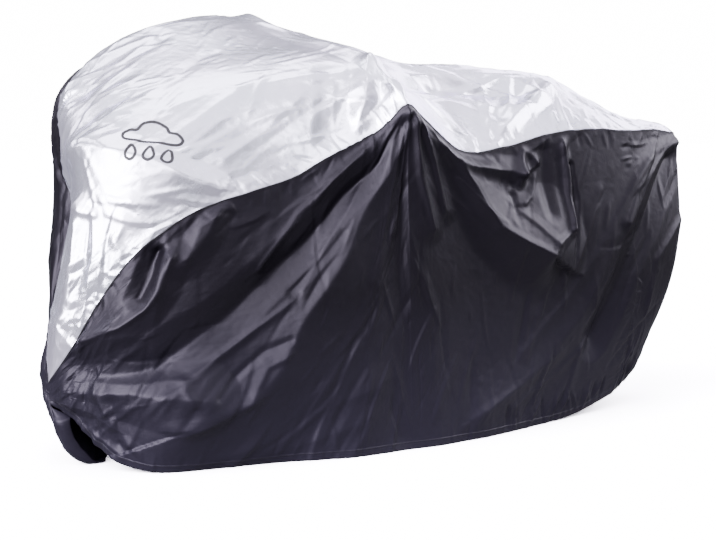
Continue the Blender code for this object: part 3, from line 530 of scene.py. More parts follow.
def facing_of(grid):
    """Unit normals of a grid, which may have cells without an area."""
    facing = np.cross(np.gradient(grid, axis=0), np.gradient(grid, axis=1))
    return facing / (np.linalg.norm(facing, axis=-1)[..., None] + 1e-12)


def settle(base, start, spare, stiff, hold, free, rounds):
    """Lets cloth buckle: it is longer than the surface along spare, and hold draws it back."""
    points = start.copy()

    def link(first, second):
        run = base[second] - base[first]
        length = np.linalg.norm(run, axis=-1) + TINY
        along = ((spare[first] + spare[second]) / 2 * run).sum(-1) / length
        return first, second, length * (1 + along * along)

    every, left, right = slice(None), slice(None, -1), slice(1, None)
    threads = [link((every, left), (every, right)), link((left, every), (right, every)),
               link((left, left), (right, right)), link((right, left), (left, right))]
    bends = [link((every, slice(None, -2)), (every, slice(2, None))),
             link((slice(None, -2), every), (slice(2, None), every))]
    weights = [1.0] * len(threads) + [stiff] * len(bends)
    for _ in range(rounds):
        step = np.zeros_like(points)
        for (first, second, rest), weight in zip(threads + bends, weights):
            apart = points[second] - points[first]
            length = np.sqrt((apart * apart).sum(-1)) + TINY
            pull = (0.5 * weight * (1 - rest / length))[..., None] * apart
            step[first] += pull
            step[second] -= pull
        points += free[..., None] * (STEP_SHARE * step + hold * (base - points))
    return points


def crinkled(grid, spare, free, seed):
    """The grid with the buckles and creases of crumpled cloth, coarse ones first."""
    chance = np.random.default_rng(seed)
    facing = facing_of(grid)
    shift = None
    for factor, stiff, hold, rounds, rough in CRINKLE_LEVELS:
        base = grid[::factor, ::factor]
        loose = free[::factor, ::factor]
        shift = np.zeros_like(base) if shift is None else finer(shift, last // factor)
        unrest = chance.normal(size=base.shape[:2]) * rough * loose
        start = base + shift + facing[::factor, ::factor] * unrest[..., None]
        shift = settle(base, start, spare[::factor, ::factor], stiff, hold, loose, rounds) - base
        last = factor
    return grid + shift


def patches(grid, low, high, seed):
    """A number for each point from low to high, in soft patches."""
    shift = Vector((seed * 3.7, seed * 1.3, 0.0))
    coarse = grid[::NOISE_STEP, ::NOISE_STEP]
    values = np.array([[noise.noise(Vector(point) / SPARE_SIZE + shift) for point in row]
                       for row in coarse.tolist()])
    return low + (high - low) * ease(0.5 + SPARE_CONTRAST * finer(values, NOISE_STEP))


def edge_free(rows, columns, hem_held):
    """1 where the cloth may move, easing to 0 at each edge that is held."""
    down = np.arange(rows)[:, None]
    across = np.arange(columns)[None, :]
    distances = [down, rows - 1 - down, across, columns - 1 - across]
    if not hem_held:
        del distances[1]
    free = np.ones((rows, columns))
    for distance in distances:
        free = free * ease(distance / HELD_CELLS)
    return free


def pull_lines(grid, facing, hangers):
    """Direction of the pull at each point: towards the places that the cloth hangs from."""
    pull = np.zeros_like(grid)
    for x, y, z, strength in hangers:
        towards = np.array([x, y, z]) - grid
        distance = np.linalg.norm(towards, axis=-1)[..., None] + HANGER_ROUND
        pull += strength * towards / distance / (distance ** 2 + HANGER_REACH ** 2)
    pull -= facing * (pull * facing).sum(-1)[..., None]
    return pull / (np.linalg.norm(pull, axis=-1)[..., None] + TINY)


def press(grid, lift, facing, spot, run, length, width, rise, skew):
    """Adds one crease to lift: a narrow lens-shaped ridge, or trough if rise is below 0."""
    row, column = spot
    reach = int(max(length, width) / CELL) + 2
    window = (slice(max(row - reach, 0), row + reach), slice(max(column - reach, 0), column + reach))
    away = grid[window] - grid[spot]
    aside = np.cross(facing[spot], run)
    along = dot(away, run) / (length / 2)
    across = dot(away, aside)
    across = across - CREASE_BEND * skew * length * along ** 2
    taper = np.clip(1 - along ** 2, 0, 1)
    flank = width * (1 + skew * np.sign(across)) * np.sqrt(taper) + 1e-6
    level = np.abs(dot(away, facing[spot])) < CREASE_DEPTH
    slope = np.clip(1 - np.abs(across) / flank, 0, 1)
    lift[window] += rise * taper * slope ** FLANK_POWER * level


def turned_by(angle, run, facing):
    """A direction in the cloth turned by an angle about the cloth's normal."""
    return run * math.cos(angle) + np.cross(facing, run) * math.sin(angle)


def strewn(grid, facing, pull, lift, free, count, seed):
    """Fine creases at chance places, which mostly run along the pull."""
    chance = np.random.default_rng(seed)
    rows, columns = lift.shape
    for _ in range(count):
        spot = (int(chance.integers(rows)), int(chance.integers(columns)))
        run = turned_by(chance.normal() * CREASE_TURN, pull[spot], facing[spot])
        size = chance.random() ** CREASE_POWER
        length = CREASE_LENGTH[0] + (CREASE_LENGTH[1] - CREASE_LENGTH[0]) * size
        width = CREASE_WIDTH[0] + (CREASE_WIDTH[1] - CREASE_WIDTH[0]) * size * chance.random()
        rise = CREASE_RISE * width * (LEAST_RISE + chance.random()) * chance.choice(CREASE_SIDES)
        if free[spot] > LEAST_FREE:
            press(grid, lift, facing, spot, run, length, width, rise,
                  chance.uniform(-CREASE_SKEW, CREASE_SKEW))


def sewn_in(grid, facing, lift, edge, inner, row, seed):
    """Short creases that start from a sewn edge; edge and inner list spots on it and inside it."""
    spacing, length, width, rise, turn = row
    chance = np.random.default_rng(seed)
    line = np.array([grid[spot] for spot in edge])
    distance = np.concatenate([[0], np.cumsum(np.linalg.norm(np.diff(line, axis=0), axis=1))])
    at = spacing
    while at < distance[-1]:
        place = min(int(np.searchsorted(distance, at)), len(edge) - 1)
        spot = inner[place]
        size = chance.uniform(*PUCKER_SIZES)
        inward = grid[spot] - grid[edge[place]]
        inward = inward / (np.linalg.norm(inward) + TINY)
        run = turned_by(chance.normal() * turn, inward, facing[spot])
        height = rise * size * chance.choice([-1, 1])
        press(grid, lift, facing, spot, run, length * size, width * chance.uniform(*PUCKER_WIDTHS),
              height, chance.uniform(-PUCKER_SKEW, PUCKER_SKEW))
        at += spacing * chance.uniform(*PUCKER_SPACING)


def edge_spots(shape, side, depth, start, end):
    """Spots along one edge of a grid and the same number of spots depth cells inside it."""
    rows, columns = shape
    if side in ("left", "right"):
        places = range(int(start * rows), int(end * (rows - 1)))
        edge, inner = (0, depth) if side == "left" else (columns - 1, columns - 1 - depth)
        return [(place, edge) for place in places], [(place, inner) for place in places]
    places = range(int(start * columns), int(end * (columns - 1)))
    edge, inner = (0, depth) if side == "top" else (rows - 1, rows - 1 - depth)
    return [(edge, place) for place in places], [(inner, place) for place in places]


def seam_shift(points):
    """How far the sewing draws each point of a seam up or down."""
    shift = np.zeros(len(points))
    *gathered, reach, height, wave = GATHERED
    *blunt, blunt_reach, drop = BLUNT
    for place, point in enumerate(points):
        for length, rise in SEAM_WOBBLE:
            shift[place] += rise * noise.noise(Vector(point) / length)
        near = max(0.0, 1 - np.linalg.norm(point - gathered) / reach)
        shift[place] += near * height * noise.noise(Vector(point) / wave)
        near = max(0.0, 1 - np.linalg.norm(point - blunt) / blunt_reach)
        shift[place] -= near * drop
    cells = np.arange(len(points))
    return shift * (ease(cells / SEAM_ENDS[0]) * ease(cells[::-1] / SEAM_ENDS[1]))


def uneven_seams(top, skirt):
    """Both panels with the near and far seams drawn a little up and down together."""
    fade = ease(1 - np.arange(SEAM_CELLS + 1) / SEAM_CELLS)
    for column, inward in ((0, 1), (-1, -1)):
        shift = seam_shift(top[:, column])
        ring = slice(0, len(top)) if column == 0 else slice(skirt.shape[1] - len(top), None)
        ordered = shift if column == 0 else shift[::-1]
        for step, share in enumerate(fade):
            top[:, column + inward * step, 2] += shift * share
            skirt[step, ring, 2] += ordered * share
    return top, skirt


def crumple(grid, free, hangers, part, seed, pieces):
    """The grid with fine creases along its pull and buckles across it."""
    facing = facing_of(grid)
    pull = pull_lines(grid, facing, hangers)
    lift = np.zeros(grid.shape[:2])
    strewn(grid, facing, pull, lift, free, CREASES[part], seed)
    for number, (piece, side, depth, start, end, *row) in enumerate(PUCKERS):
        if piece in pieces:
            own = pieces[piece]
            edge, inner = edge_spots(lift[own].shape, side, depth, start, end)
            sewn_in(grid[own], facing[own], lift[own], edge, inner, row, seed + number)
    grid = grid + facing * (lift * free)[..., None]
    spare = np.cross(facing, pull) * patches(grid, *SPARE[part], seed)[..., None]
    return crinkled(grid, spare, free, seed)


def build_panels():
    """The four panels as fine grids in the part's own frame."""
    steps, across, down = FINE_STEPS
    side = TAIL_SECTION * steps
    tail_end = side + 2 * (REAR_SECTION - TAIL_SECTION) * steps + across
    top = folded_top(REAR_SECTION * steps, across)
    top, skirt = uneven_seams(top, folded_skirt(top, side, down).transpose(1, 0, 2))
    whole = (slice(None), slice(None))
    black = {"side_near": (slice(None), slice(0, side + 1)),
             "tail": (slice(None), slice(side, tail_end + 1)),
             "side_far": (slice(None), slice(tail_end, None))}
    top_free = edge_free(*top.shape[:2], True) * ease(np.arange(len(top)) / NOSE_CELLS)[:, None]
    skirt_free = edge_free(*skirt.shape[:2], False)
    top = crumple(top, top_free, TOP_HANGERS, "top", 5, {"top": whole}) - MIDDLE
    skirt = crumple(skirt, skirt_free, SKIRT_HANGERS, "skirt", 6, {"skirt": whole, **black}) - MIDDLE
    skirt[..., 2] = np.maximum(skirt[..., 2], 0)
    return {"silver_top": top, **{name: skirt[own] for name, own in black.items()}}


# --------------------------------------------------------------- finishes, and nodes in general

def linear(colour):
    """An sRGB hex value as linear red, green, blue and alpha."""
    channels = [int(colour[place:place + 2], 16) / 255 for place in (1, 3, 5)]
    return (*[c / 12.92 if c <= 0.04045 else ((c + 0.055) / 1.055) ** 2.4 for c in channels], 1.0)


def add_node(tree, kind, links=None, **settings):
    """Adds a node; settings name its properties or inputs, links name its inputs' sources."""
    node = tree.nodes.new(kind)
    for name, value in settings.items():
        if hasattr(node, name):
            setattr(node, name, value)
        else:
            node.inputs[name.replace("_", " ")].default_value = value
    for name, source in (links or {}).items():
        tree.links.new(source, node.inputs[name])
    return node


def finish(name, **settings):
    """A material, its nodes and its shader; settings name the shader's inputs."""
    material = bpy.data.materials.new(name)
    material.use_nodes = True
    tree = material.node_tree
    shader = tree.nodes["Principled BSDF"]
    for label, value in settings.items():
        shader.inputs[label.replace("_", " ")].default_value = value
    return material, tree, shader


FLOOR_SHEEN_HEIGHT = 0.42        # painted floor sheen: below this height the cloth is painted paler towards the hem, standing in for light that the white floor sends back
PATCH_MM = 166.7          # size of the soft patches in which the coat's tone and gloss change
CRINKLE_MM = 26.32        # size of the crinkles too small for the mesh
WEAVE_MM = 2.381          # the weave, drawn much coarser than its threads of 0.13 mm so that it shows
WEAVE_RELIEF = 0.0002
GLOSS_SPREAD = 0.07       # how far the roughness strays from its mean
COAT_SPECULAR = 0.25      # half of what its IOR gives, because the filled coat is matt
COAT_TINT = (0.93, 0.88, 1.0, 1.0)        # and its reflections are a little violet


def coated_taffeta(name, colour, shade, floor_sheen, roughness, metallic, crinkle_mm):
    """Polyester taffeta, a fine plain weave, calendered and coated with polyurethane.

    The coat fills the weave, so the cloth has broad soft streaks of gloss on each fold and only a
    faint grain. The silver's coat is filled with aluminium flakes, so it is almost all metallic.
    """
    material, tree, shader = finish(name, Metallic=metallic, IOR=1.5, Specular_Tint=COAT_TINT,
                                    Specular_IOR_Level=COAT_SPECULAR)
    place = add_node(tree, "ShaderNodeTexCoord").outputs["Object"]
    cloud = add_node(tree, "ShaderNodeTexNoise", {"Vector": place},
                     Scale=1000 / PATCH_MM, Detail=5.0, Roughness=0.6).outputs["Fac"]
    tone = add_node(tree, "ShaderNodeMix", {"Factor": cloud}, data_type="RGBA", A=linear(shade),
                    B=linear(colour))
    # painted floor sheen: the colour is mixed towards a paler one below the sheen height, standing in
    # for light from the white floor
    level = add_node(tree, "ShaderNodeSeparateXYZ", {"Vector": place})
    sheen_share = add_node(tree, "ShaderNodeMapRange", {"Value": level.outputs["Z"]},
                     From_Min=FLOOR_SHEEN_HEIGHT, From_Max=0.0)
    sheen_painted = add_node(tree, "ShaderNodeMix",
                      {"Factor": sheen_share.outputs["Result"], "A": tone.outputs["Result"]},
                      data_type="RGBA", B=linear(floor_sheen))
    crinkle = add_node(tree, "ShaderNodeTexNoise", {"Vector": place}, Scale=1000 / CRINKLE_MM,
                       Detail=4.0, Roughness=0.55, Distortion=1.2)
    weave = add_node(tree, "ShaderNodeTexNoise", {"Vector": place}, Scale=1000 / WEAVE_MM, Detail=2.0)
    low = add_node(tree, "ShaderNodeBump", {"Height": crinkle.outputs["Fac"]},
                   Strength=1.0, Distance=crinkle_mm / 1000)
    fine = add_node(tree, "ShaderNodeBump",
                    {"Height": weave.outputs["Fac"], "Normal": low.outputs["Normal"]},
                    Strength=0.25, Distance=WEAVE_RELIEF)
    gloss = add_node(tree, "ShaderNodeMapRange", {"Value": cloud},
                     To_Min=roughness - GLOSS_SPREAD, To_Max=roughness + GLOSS_SPREAD)
    tree.links.new(sheen_painted.outputs["Result"], shader.inputs["Base Color"])
    tree.links.new(fine.outputs["Normal"], shader.inputs["Normal"])
    tree.links.new(gloss.outputs["Result"], shader.inputs["Roughness"])
    return material


def plain_finish(name, colour, roughness):
    """An even finish: matt screen ink, woven tape or spun thread, too fine for a pattern to show."""
    return finish(name, Base_Color=linear(colour), Roughness=roughness)[0]


# ------------------------------------------------------------------------- cloth, trims and print

EDGE_CELLS = 40           # cells from an edge within which its bands lie
# Profiles of the bands: distances inside the edge, and how far off the cloth each line lies.
HEM_PROFILE = ((0.0, 0.001, 0.004, 0.012, 0.019, 0.0205, 0.0215),
               (-0.0006, 0.0008, 0.0012, 0.0014, 0.0006, 0.0010, -0.0002))
BINDING_PROFILE = ((0.0, 0.0006, 0.0025, 0.0040, 0.0046),
                   (0.0002, 0.0014, 0.0018, 0.0012, -0.0002))
HEM_FLOOR = 0.0001        # least height of the hem over the floor

# Where the far side's lap ends. Columns: section, place across the top from 0 to 4.
LAP = ((4.3, 4.0), (4.6, 3.90), (4.8, 3.80), (5.0, 3.66), (5.25, 3.52), (5.5, 3.55), (5.75, 3.65),
       (6.0, 3.74), (6.5, 3.74), (7.0, 3.78), (7.5, 3.88), (7.9, 4.0))
LAP_LIFT = 0.0020
LAP_LINES = 9             # rows of points over its width
LAP_STEEP = 6             # it stands off fully at one part in this many of its width

TURNED_COLUMNS = 124      # columns of the far panel over which its hem curls in
TURNED_WIDTH = 0.040
TURNED_ENDS = (0.16, 0.35)                # shares of its length over which it narrows at each end
TURNED_WAVES = (0.12, 17.0)               # share of its width by which it waves, and how often
TURNED_FLOOR = 0.0008     # least height over the floor
TURNED_ALONG = np.array([0.80, -0.60, 0.05])            # direction that the curled cloth takes
TURNED_OUT = np.array([-0.60, -0.70, -0.30])            # and the side to which it bulges
TURNED_PROFILE = ((0.0, 0.0), (0.10, 0.10), (0.25, 0.19), (0.42, 0.23), (0.58, 0.22), (0.73, 0.16),
                  (0.86, 0.08), (0.96, 0.0), (1.0, -0.05), (0.97, -0.09))

# The printed device, in millimetres from its middle: points of each closed outline, a cloud and
# three drops
PRINT_LINES = (
    ((-68, 12), (-74, 30), (-58, 46), (-40, 48), (-26, 68), (2, 75), (28, 62), (38, 46),
     (58, 42), (72, 26), (58, 10), (10, 8), (-36, 9)),
    ((-46, -12), (-35, -38), (-37, -56), (-48, -63), (-60, -55), (-58, -36)),
    ((0, -14), (11, -40), (9, -58), (-2, -65), (-14, -57), (-12, -38)),
    ((46, -12), (57, -38), (55, -56), (44, -63), (32, -55), (34, -36)),
)
PRINT_WIDTH = 0.0075
PRINT_SPOT = (138, 55)    # row and column of the silver grid in the middle of the device
PRINT_RIGHT = (0.84, -0.54, 0.0)          # direction that the device reads towards
PRINT_CELLS = 4           # cells each way from there over which the cloth's lie is read
PRINT_FINE = 24           # places on its line for each point of the table
INK = 0.0011              # how far the ink stands off the cloth

THREAD = 0.0005
STITCH, STITCH_GAP = 0.0030, 0.0010
# Where the stitches run. Distance inside the edge, and how far off the cloth.
TOP_STITCHES = ([0.0075], [0.0008])
HEM_STITCHES = ([0.019], [0.0012])
TAIL_STITCHES = ([0.005], [0.0006])
NOSE_UNSEWN = 8           # columns at the nose without stitches


def put(name, data):
    """A new object in the scene, at the origin and unturned."""
    item = bpy.data.objects.new(name, data)
    bpy.context.scene.collection.objects.link(item)
    return item


def single_sheet(name, points, faces, material):
    """One smooth piece of single cloth, tape or print from its points and faces."""
    mesh = bpy.data.meshes.new(name)
    mesh.from_pydata(points, [], faces)
    mesh.update()
    mesh.shade_smooth()
    mesh.materials.append(material)
    return put(name, mesh)


def cell_corners(number):
    """Corners of each cell of a grid of point numbers, so that the cell faces outwards."""
    corners = np.stack([number[:-1, :-1], number[1:, :-1], number[1:, 1:], number[:-1, 1:]], -1)
    return corners.reshape(-1, 4).tolist()


def panel_cloth(name, grid, material, pointed):
    """A panel of cloth from its grid of points; a pointed one starts with a single point."""
    rows, columns = grid.shape[:2]
    number = np.arange(rows * columns).reshape(rows, columns)
    points = grid.reshape(-1, 3)
    if pointed:
        number = np.maximum(number - columns + 1, 0)
        points = points[columns - 1:]
    faces = [list(dict.fromkeys(face)) for face in cell_corners(number)]
    return single_sheet(name, points.tolist(), faces, material)


def joined(name, grids_of_points, material):
    """One object from several grids of points, each a strip of cloth or of print."""
    points, faces = [], []
    for grid in grids_of_points:
        rows, columns = grid.shape[:2]
        faces += cell_corners(np.arange(rows * columns).reshape(rows, columns) + len(points))
        points += grid.reshape(-1, 3).tolist()
    return single_sheet(name, points, faces, material)


def from_edge(grid, side, distances, out):
    """Lines that follow an edge of a grid at some distances inside it, out off the cloth.

    distances and out hold a number for each line; the result is a grid with a row for each.
    """
    facing = facing_of(grid)
    if side in ("left", "right"):
        grid, facing = grid.transpose(1, 0, 2), facing.transpose(1, 0, 2)
    if side in ("right", "bottom"):
        grid, facing = grid[::-1], facing[::-1]
    grid, facing = grid[:EDGE_CELLS], facing[:EDGE_CELLS]
    away = np.linalg.norm(np.diff(grid, axis=0), axis=-1).cumsum(0)
    away = np.concatenate([np.zeros_like(away[:1]), away])
    lines = np.empty((len(distances), grid.shape[1], 3))
    for column in range(grid.shape[1]):
        for axis in range(3):
            place = np.interp(distances, away[:, column], grid[:, column, axis])
            turn = np.interp(distances, away[:, column], facing[:, column, axis])
            lines[:, column, axis] = place + turn * out
    return lines


def hem_band(name, grid, material):
    """The hem: the cloth turned up once and sewn, with its rounded lower edge."""
    lines = from_edge(grid, "bottom", *HEM_PROFILE)
    lines[..., 2] = np.maximum(lines[..., 2], HEM_FLOOR)
    return joined(name, [lines[::-1]], material)


def turned_hem(name, grid, material):
    """The far hem where it curls in under the nose, so that its outside shows in the opening."""
    edge = grid[-1, ::-1][:TURNED_COLUMNS]
    share = np.linspace(0, 1, len(edge))
    width = TURNED_WIDTH * ease(share / TURNED_ENDS[0]) * ease((1 - share) / TURNED_ENDS[1])
    width = width * (1 + TURNED_WAVES[0] * np.sin(share * TURNED_WAVES[1]))
    lines = np.stack([edge + width[:, None] * (reach * TURNED_ALONG + bulge * TURNED_OUT)
                      for reach, bulge in TURNED_PROFILE])
    lines[..., 2] = np.maximum(lines[..., 2], TURNED_FLOOR)
    return joined(name, [lines[::-1]], material)


def seam_binding(name, top, material):
    """The narrow black tape that binds the silver panel's seams with the black ones."""
    near, far, rear = [from_edge(top, side, *BINDING_PROFILE) for side in ("left", "right", "bottom")]
    return joined(name, [near.transpose(1, 0, 2), far[::-1].transpose(1, 0, 2), rear[::-1]], material)


def read(grid, places):
    """Points of a grid at fractional rows and columns."""
    places = np.clip(places, 0, np.array(grid.shape[:2]) - 1.001)
    low = places.astype(int)
    row, column = low[..., 0], low[..., 1]
    down, aside = np.moveaxis(places - low, -1, 0)[..., None]
    return ((grid[row, column] * (1 - down) + grid[row + 1, column] * down) * (1 - aside)
            + (grid[row, column + 1] * (1 - down) + grid[row + 1, column + 1] * down) * aside)


def smooth_loop(points):
    """A smooth closed line through points."""
    rows = np.array(points, float)
    rows = np.concatenate([rows[-3:], rows, rows[:4]])
    return spline(rows, np.linspace(3, len(points) + 3, PRINT_FINE * len(points)))


def printed(name, grid, material):
    """The printed device: a cloud and three drops in one outline, laid on the cloth."""
    facing = facing_of(grid)
    row, column = PRINT_SPOT
    near = PRINT_CELLS
    down = (grid[row + near, column] - grid[row - near, column]) / (2 * near)
    aside = (grid[row, column + near] - grid[row, column - near]) / (2 * near)
    level = np.array(PRINT_RIGHT) - facing[row, column] * np.dot(PRINT_RIGHT, facing[row, column])
    level = level / np.linalg.norm(level)
    rising = np.cross(facing[row, column], level)
    to_places = np.linalg.pinv(np.stack([down, aside], 1)) @ np.stack([level, rising], 1)
    ribbons = []
    for points in PRINT_LINES:
        line = smooth_loop(points) / 1000
        run = np.gradient(line, axis=0)
        across = np.stack([-run[:, 1], run[:, 0]], 1) / np.linalg.norm(run, axis=1)[:, None]
        sides = []
        for offset in (-PRINT_WIDTH / 2, PRINT_WIDTH / 2):
            places = (line + across * offset) @ to_places.T + np.array(PRINT_SPOT)
            sides.append(read(grid, places) + read(facing, places) * INK)
        ribbons.append(np.stack(sides))
    return joined(name, ribbons, material)


def lapped_edge(name, top, material):
    """The far side's upper edge, where it laps over the silver panel's shoulder."""
    sections, columns = np.array(LAP).T
    rows = np.arange(int(sections[0] * FINE_STEPS[0]), int(sections[-1] * FINE_STEPS[0]) + 1)
    inner = np.interp(rows / FINE_STEPS[0], sections, columns)[:, None]
    share = np.linspace(0, 1, LAP_LINES)[None, :]
    columns = (inner + (SPANS - inner) * share) / SPANS * (top.shape[1] - 1)
    places = np.stack(np.broadcast_arrays(rows[:, None], columns), -1)
    lift = LAP_LIFT * ease(share * LAP_STEEP)[..., None]
    return joined(name, [read(top, places) + read(facing_of(top), places) * lift], material)


def stitch_tree(material):
    """Nodes that sew lock stitches along edges, and the identifiers of its inputs' sockets."""
    tree = bpy.data.node_groups.new("stitches_along_lines", "GeometryNodeTree")
    face = tree.interface
    face.new_socket("Geometry", in_out="INPUT", socket_type="NodeSocketGeometry")
    sizes = {}
    for label in ("Thread", "Stitch", "Pitch"):
        sizes[label] = face.new_socket(label, in_out="INPUT", socket_type="NodeSocketFloat").identifier
    face.new_socket("Geometry", in_out="OUTPUT", socket_type="NodeSocketGeometry")
    given = tree.nodes.new("NodeGroupInput").outputs
    curve = add_node(tree, "GeometryNodeMeshToCurve", {"Mesh": given["Geometry"]})
    beads = add_node(tree, "GeometryNodeResampleCurve",
                     {"Curve": curve.outputs["Curve"], "Length": given["Pitch"]}, mode="LENGTH")
    along = add_node(tree, "GeometryNodeInputTangent")
    turned = add_node(tree, "FunctionNodeAlignEulerToVector", {"Vector": along.outputs["Tangent"]},
                      axis="Z")
    bar = add_node(tree, "GeometryNodeMeshCylinder",
                   {"Radius": given["Thread"], "Depth": given["Stitch"]}, Vertices=6)
    placed = add_node(tree, "GeometryNodeInstanceOnPoints",
                      {"Points": beads.outputs["Curve"], "Instance": bar.outputs["Mesh"],
                       "Rotation": turned.outputs["Rotation"]})
    real = add_node(tree, "GeometryNodeRealizeInstances", {"Geometry": placed.outputs["Instances"]})
    painted = add_node(tree, "GeometryNodeSetMaterial", {"Geometry": real.outputs["Geometry"]},
                       Material=material)
    add_node(tree, "NodeGroupOutput", {"Geometry": painted.outputs["Geometry"]})
    return tree, sizes


def sewing(name, lines, material):
    """Rows of lock stitches along lines of points, as short lengths of thread."""
    bars = bpy.data.meshes.new(name + "_lines")
    points, edges = [], []
    for line in lines:
        first = len(points)
        points += line.tolist()
        edges += [(first + place, first + place + 1) for place in range(len(line) - 1)]
    bars.from_pydata(points, edges, [])
    stitches = put(name, bars)
    tree, sizes = stitch_tree(material)
    maker = stitches.modifiers.new("stitches", "NODES")
    maker.node_group = tree
    maker[sizes["Thread"]] = THREAD / 2
    maker[sizes["Stitch"]] = STITCH
    maker[sizes["Pitch"]] = STITCH + STITCH_GAP
    seen = stitches.evaluated_get(bpy.context.evaluated_depsgraph_get())
    baked = bpy.data.meshes.new_from_object(seen)
    stitches.modifiers.clear()
    stitches.data = baked
    return stitches


# -------------------------------------------------------------------------------- the whole cover

grids = build_panels()
# Columns: colour, colour in patches, paler colour painted towards the hem as the floor's sheen,
# roughness, metallic, height of crinkles in mm.
silver = coated_taffeta("silver_coated_taffeta", "#f6f0ff", "#e9f2fa", "#ebe8f4", 0.27, 0.90, 0.5)
black = coated_taffeta("black_coated_taffeta", "#07050b", "#040306", "#18161f", 0.46, 0.0, 0.4)
ink = plain_finish("black_screen_ink", "#121115", 0.60)
tape = plain_finish("black_polyester_tape", "#0b0a0e", 0.70)
grey_thread = plain_finish("grey_polyester_thread", "#8d8e94", 0.6)
black_thread = plain_finish("black_polyester_thread", "#121115", 0.6)
for name, grid in grids.items():
    is_top = name == "silver_top"
    cloth = panel_cloth(name + "_cloth", grid, silver if is_top else black, is_top)
    if is_top:
        trims = [seam_binding("seam_binding", grid, tape), printed("printed_cloud", grid, ink)]
        lines = [from_edge(grid, side, *TOP_STITCHES)[0][NOSE_UNSEWN:]
                 for side in ("left", "right", "bottom")]
    else:
        trims = [hem_band(name + "_hem", grid, black)]
        lines = [from_edge(grid, "bottom", *HEM_STITCHES)[0]]
    if name == "tail":
        lines += [from_edge(grid, side, *TAIL_STITCHES)[0] for side in ("left", "right")]
    if name == "side_far":
        trims.append(lapped_edge("side_far_lap", grids["silver_top"], black))
        trims.append(turned_hem("side_far_turned_hem", grid, black))
    trims.append(sewing(name + "_stitches", lines, grey_thread if is_top else black_thread))
    for piece in [cloth] + trims:
        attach(piece, "root")
    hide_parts(name)


# ------------------------------------------------------------------------ floor, light and camera

LAMP_TINT = "#f5f0ff"
# Large soft lamps far away. Columns: name, direction towards it (to the tail, to the far side,
# up), apparent width in degrees, power.
LAMPS = (
    ("low_left", (-0.87, -0.33, 0.26), 46, 11.0),
    ("low_front", (-0.60, -0.80, 0.30), 40, 0.9),
    ("front_strip", (0.10, -0.90, 0.42), 40, 0.3),
    ("high_front", (-0.34, -0.64, 0.71), 44, 2.9),
    ("high_left", (-0.72, -0.10, 0.68), 34, 3.8),
    ("high_right", (0.90, -0.16, 0.48), 34, 3.5),
    ("low_right", (0.70, -0.70, 0.18), 30, 0.25),
    ("ceiling", (0.0, 0.0, 1.0), 90, 1.9),
    ("top_box", (0.25, 0.02, 0.95), 60, 0.7),
    ("back_box", (0.10, 0.30, 0.90), 28, 1.0),
    ("back_strip", (0.74, 0.52, 0.40), 30, 1.8),
    ("back_left", (-0.45, 0.50, 0.60), 26, 1.0),
)
FLOOR_REACH = 40.0
POOL = (0.9, 2.4)         # distances over which the light that the floor sends back fades out
SEEN_FLOOR, SEEN_WHITE = 5.0, 16.0        # brightness of the floor and of the wall behind it
WORLD_LIGHT = 0.22

FRAME_WIDTH = 716.0       # in pixels
FOCAL_PIXELS = 1700.0     # focal length
DIP_PIXELS = 150.0        # how far the level line through the camera is above the middle
SENSOR = 36.0
CAMERA_SPOT = (-2.5, -3.97, 0.85)         # in the bicycle's frame
CAMERA_TURN = math.radians(32.0)


def lamps():
    """Every lamp of the table."""
    for name, towards, spread, power in LAMPS:
        lamp = bpy.data.lights.new(name, "SUN")
        lamp.angle = math.radians(spread)
        lamp.color = linear(LAMP_TINT)[:3]
        lamp.energy = power
        put(name, lamp).rotation_euler = Vector(towards).to_track_quat("Z", "Y").to_euler()


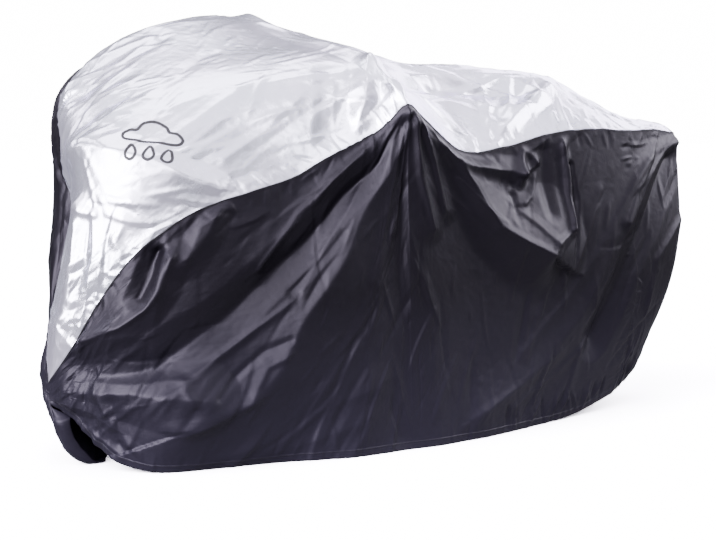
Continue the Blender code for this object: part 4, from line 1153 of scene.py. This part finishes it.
def white_floor():
    """A matt white floor; what it sends back to the cover fades out away from the middle."""
    paint, tree, shader = finish("matt_white_floor", Roughness=1.0, Specular_IOR_Level=0.0)
    seen = add_node(tree, "ShaderNodeLightPath").outputs["Is Camera Ray"]
    place = add_node(tree, "ShaderNodeTexCoord")
    away = add_node(tree, "ShaderNodeVectorMath", {"Vector": place.outputs["Object"]},
                    operation="LENGTH")
    faded = add_node(tree, "ShaderNodeMapRange", {"Value": away.outputs["Value"]},
                     From_Min=POOL[0], From_Max=POOL[1])
    pool = add_node(tree, "ShaderNodeMix", {"Factor": faded.outputs["Result"]}, data_type="RGBA",
                    A=linear("#767676"), B=linear("#3e3e3e"))
    shade = add_node(tree, "ShaderNodeMix", {"Factor": seen, "A": pool.outputs["Result"]},
                     data_type="RGBA", B=linear("#fdfdfd"))
    bright = add_node(tree, "ShaderNodeMapRange", {"Value": seen}, To_Min=1.0, To_Max=SEEN_FLOOR)
    lift = add_node(tree, "ShaderNodeVectorMath", {"Vector": shade.outputs["Result"]},
                    operation="SCALE")
    tree.links.new(bright.outputs["Result"], lift.inputs["Scale"])
    tree.links.new(lift.outputs["Vector"], shader.inputs["Base Color"])
    mesh = bpy.data.meshes.new("floor")
    corners = [(x * FLOOR_REACH, y * FLOOR_REACH, 0) for x, y in ((-1, -1), (1, -1), (1, 1), (-1, 1))]
    mesh.from_pydata(corners, [], [[0, 1, 2, 3]])
    mesh.materials.append(paint)
    return put("floor", mesh)


def pale_studio():
    """The air of the studio: white behind the floor, and a faint even light on the cover."""
    world = bpy.data.worlds.new("studio")
    world.use_nodes = True
    tree = world.node_tree
    light = tree.nodes["Background"]
    light.inputs["Color"].default_value = linear("#f4f6ff")
    light.inputs["Strength"].default_value = WORLD_LIGHT
    behind = add_node(tree, "ShaderNodeBackground", Color=linear("#ffffff"), Strength=SEEN_WHITE)
    seen = add_node(tree, "ShaderNodeLightPath")
    blend = add_node(tree, "ShaderNodeMixShader")
    tree.links.new(seen.outputs["Is Camera Ray"], blend.inputs[0])
    tree.links.new(light.outputs[0], blend.inputs[1])
    tree.links.new(behind.outputs[0], blend.inputs[2])
    tree.links.new(blend.outputs[0], tree.nodes["World Output"].inputs["Surface"])
    bpy.context.scene.world = world


def camera():
    """Camera to the left of the near side, a little above saddle height, looking slightly down."""
    lens = bpy.data.cameras.new("camera")
    lens.sensor_width = SENSOR
    lens.lens = FOCAL_PIXELS / FRAME_WIDTH * SENSOR
    dip = math.atan2(DIP_PIXELS, FOCAL_PIXELS)
    ahead = Vector((math.sin(CAMERA_TURN) * math.cos(dip), math.cos(CAMERA_TURN) * math.cos(dip),
                    -math.sin(dip)))
    view = put("camera", lens)
    view.location = Vector(CAMERA_SPOT) - Vector(MIDDLE)
    view.rotation_euler = ahead.to_track_quat("-Z", "Y").to_euler()
    bpy.context.scene.camera = view


white_floor()
pale_studio()
lamps()
camera()
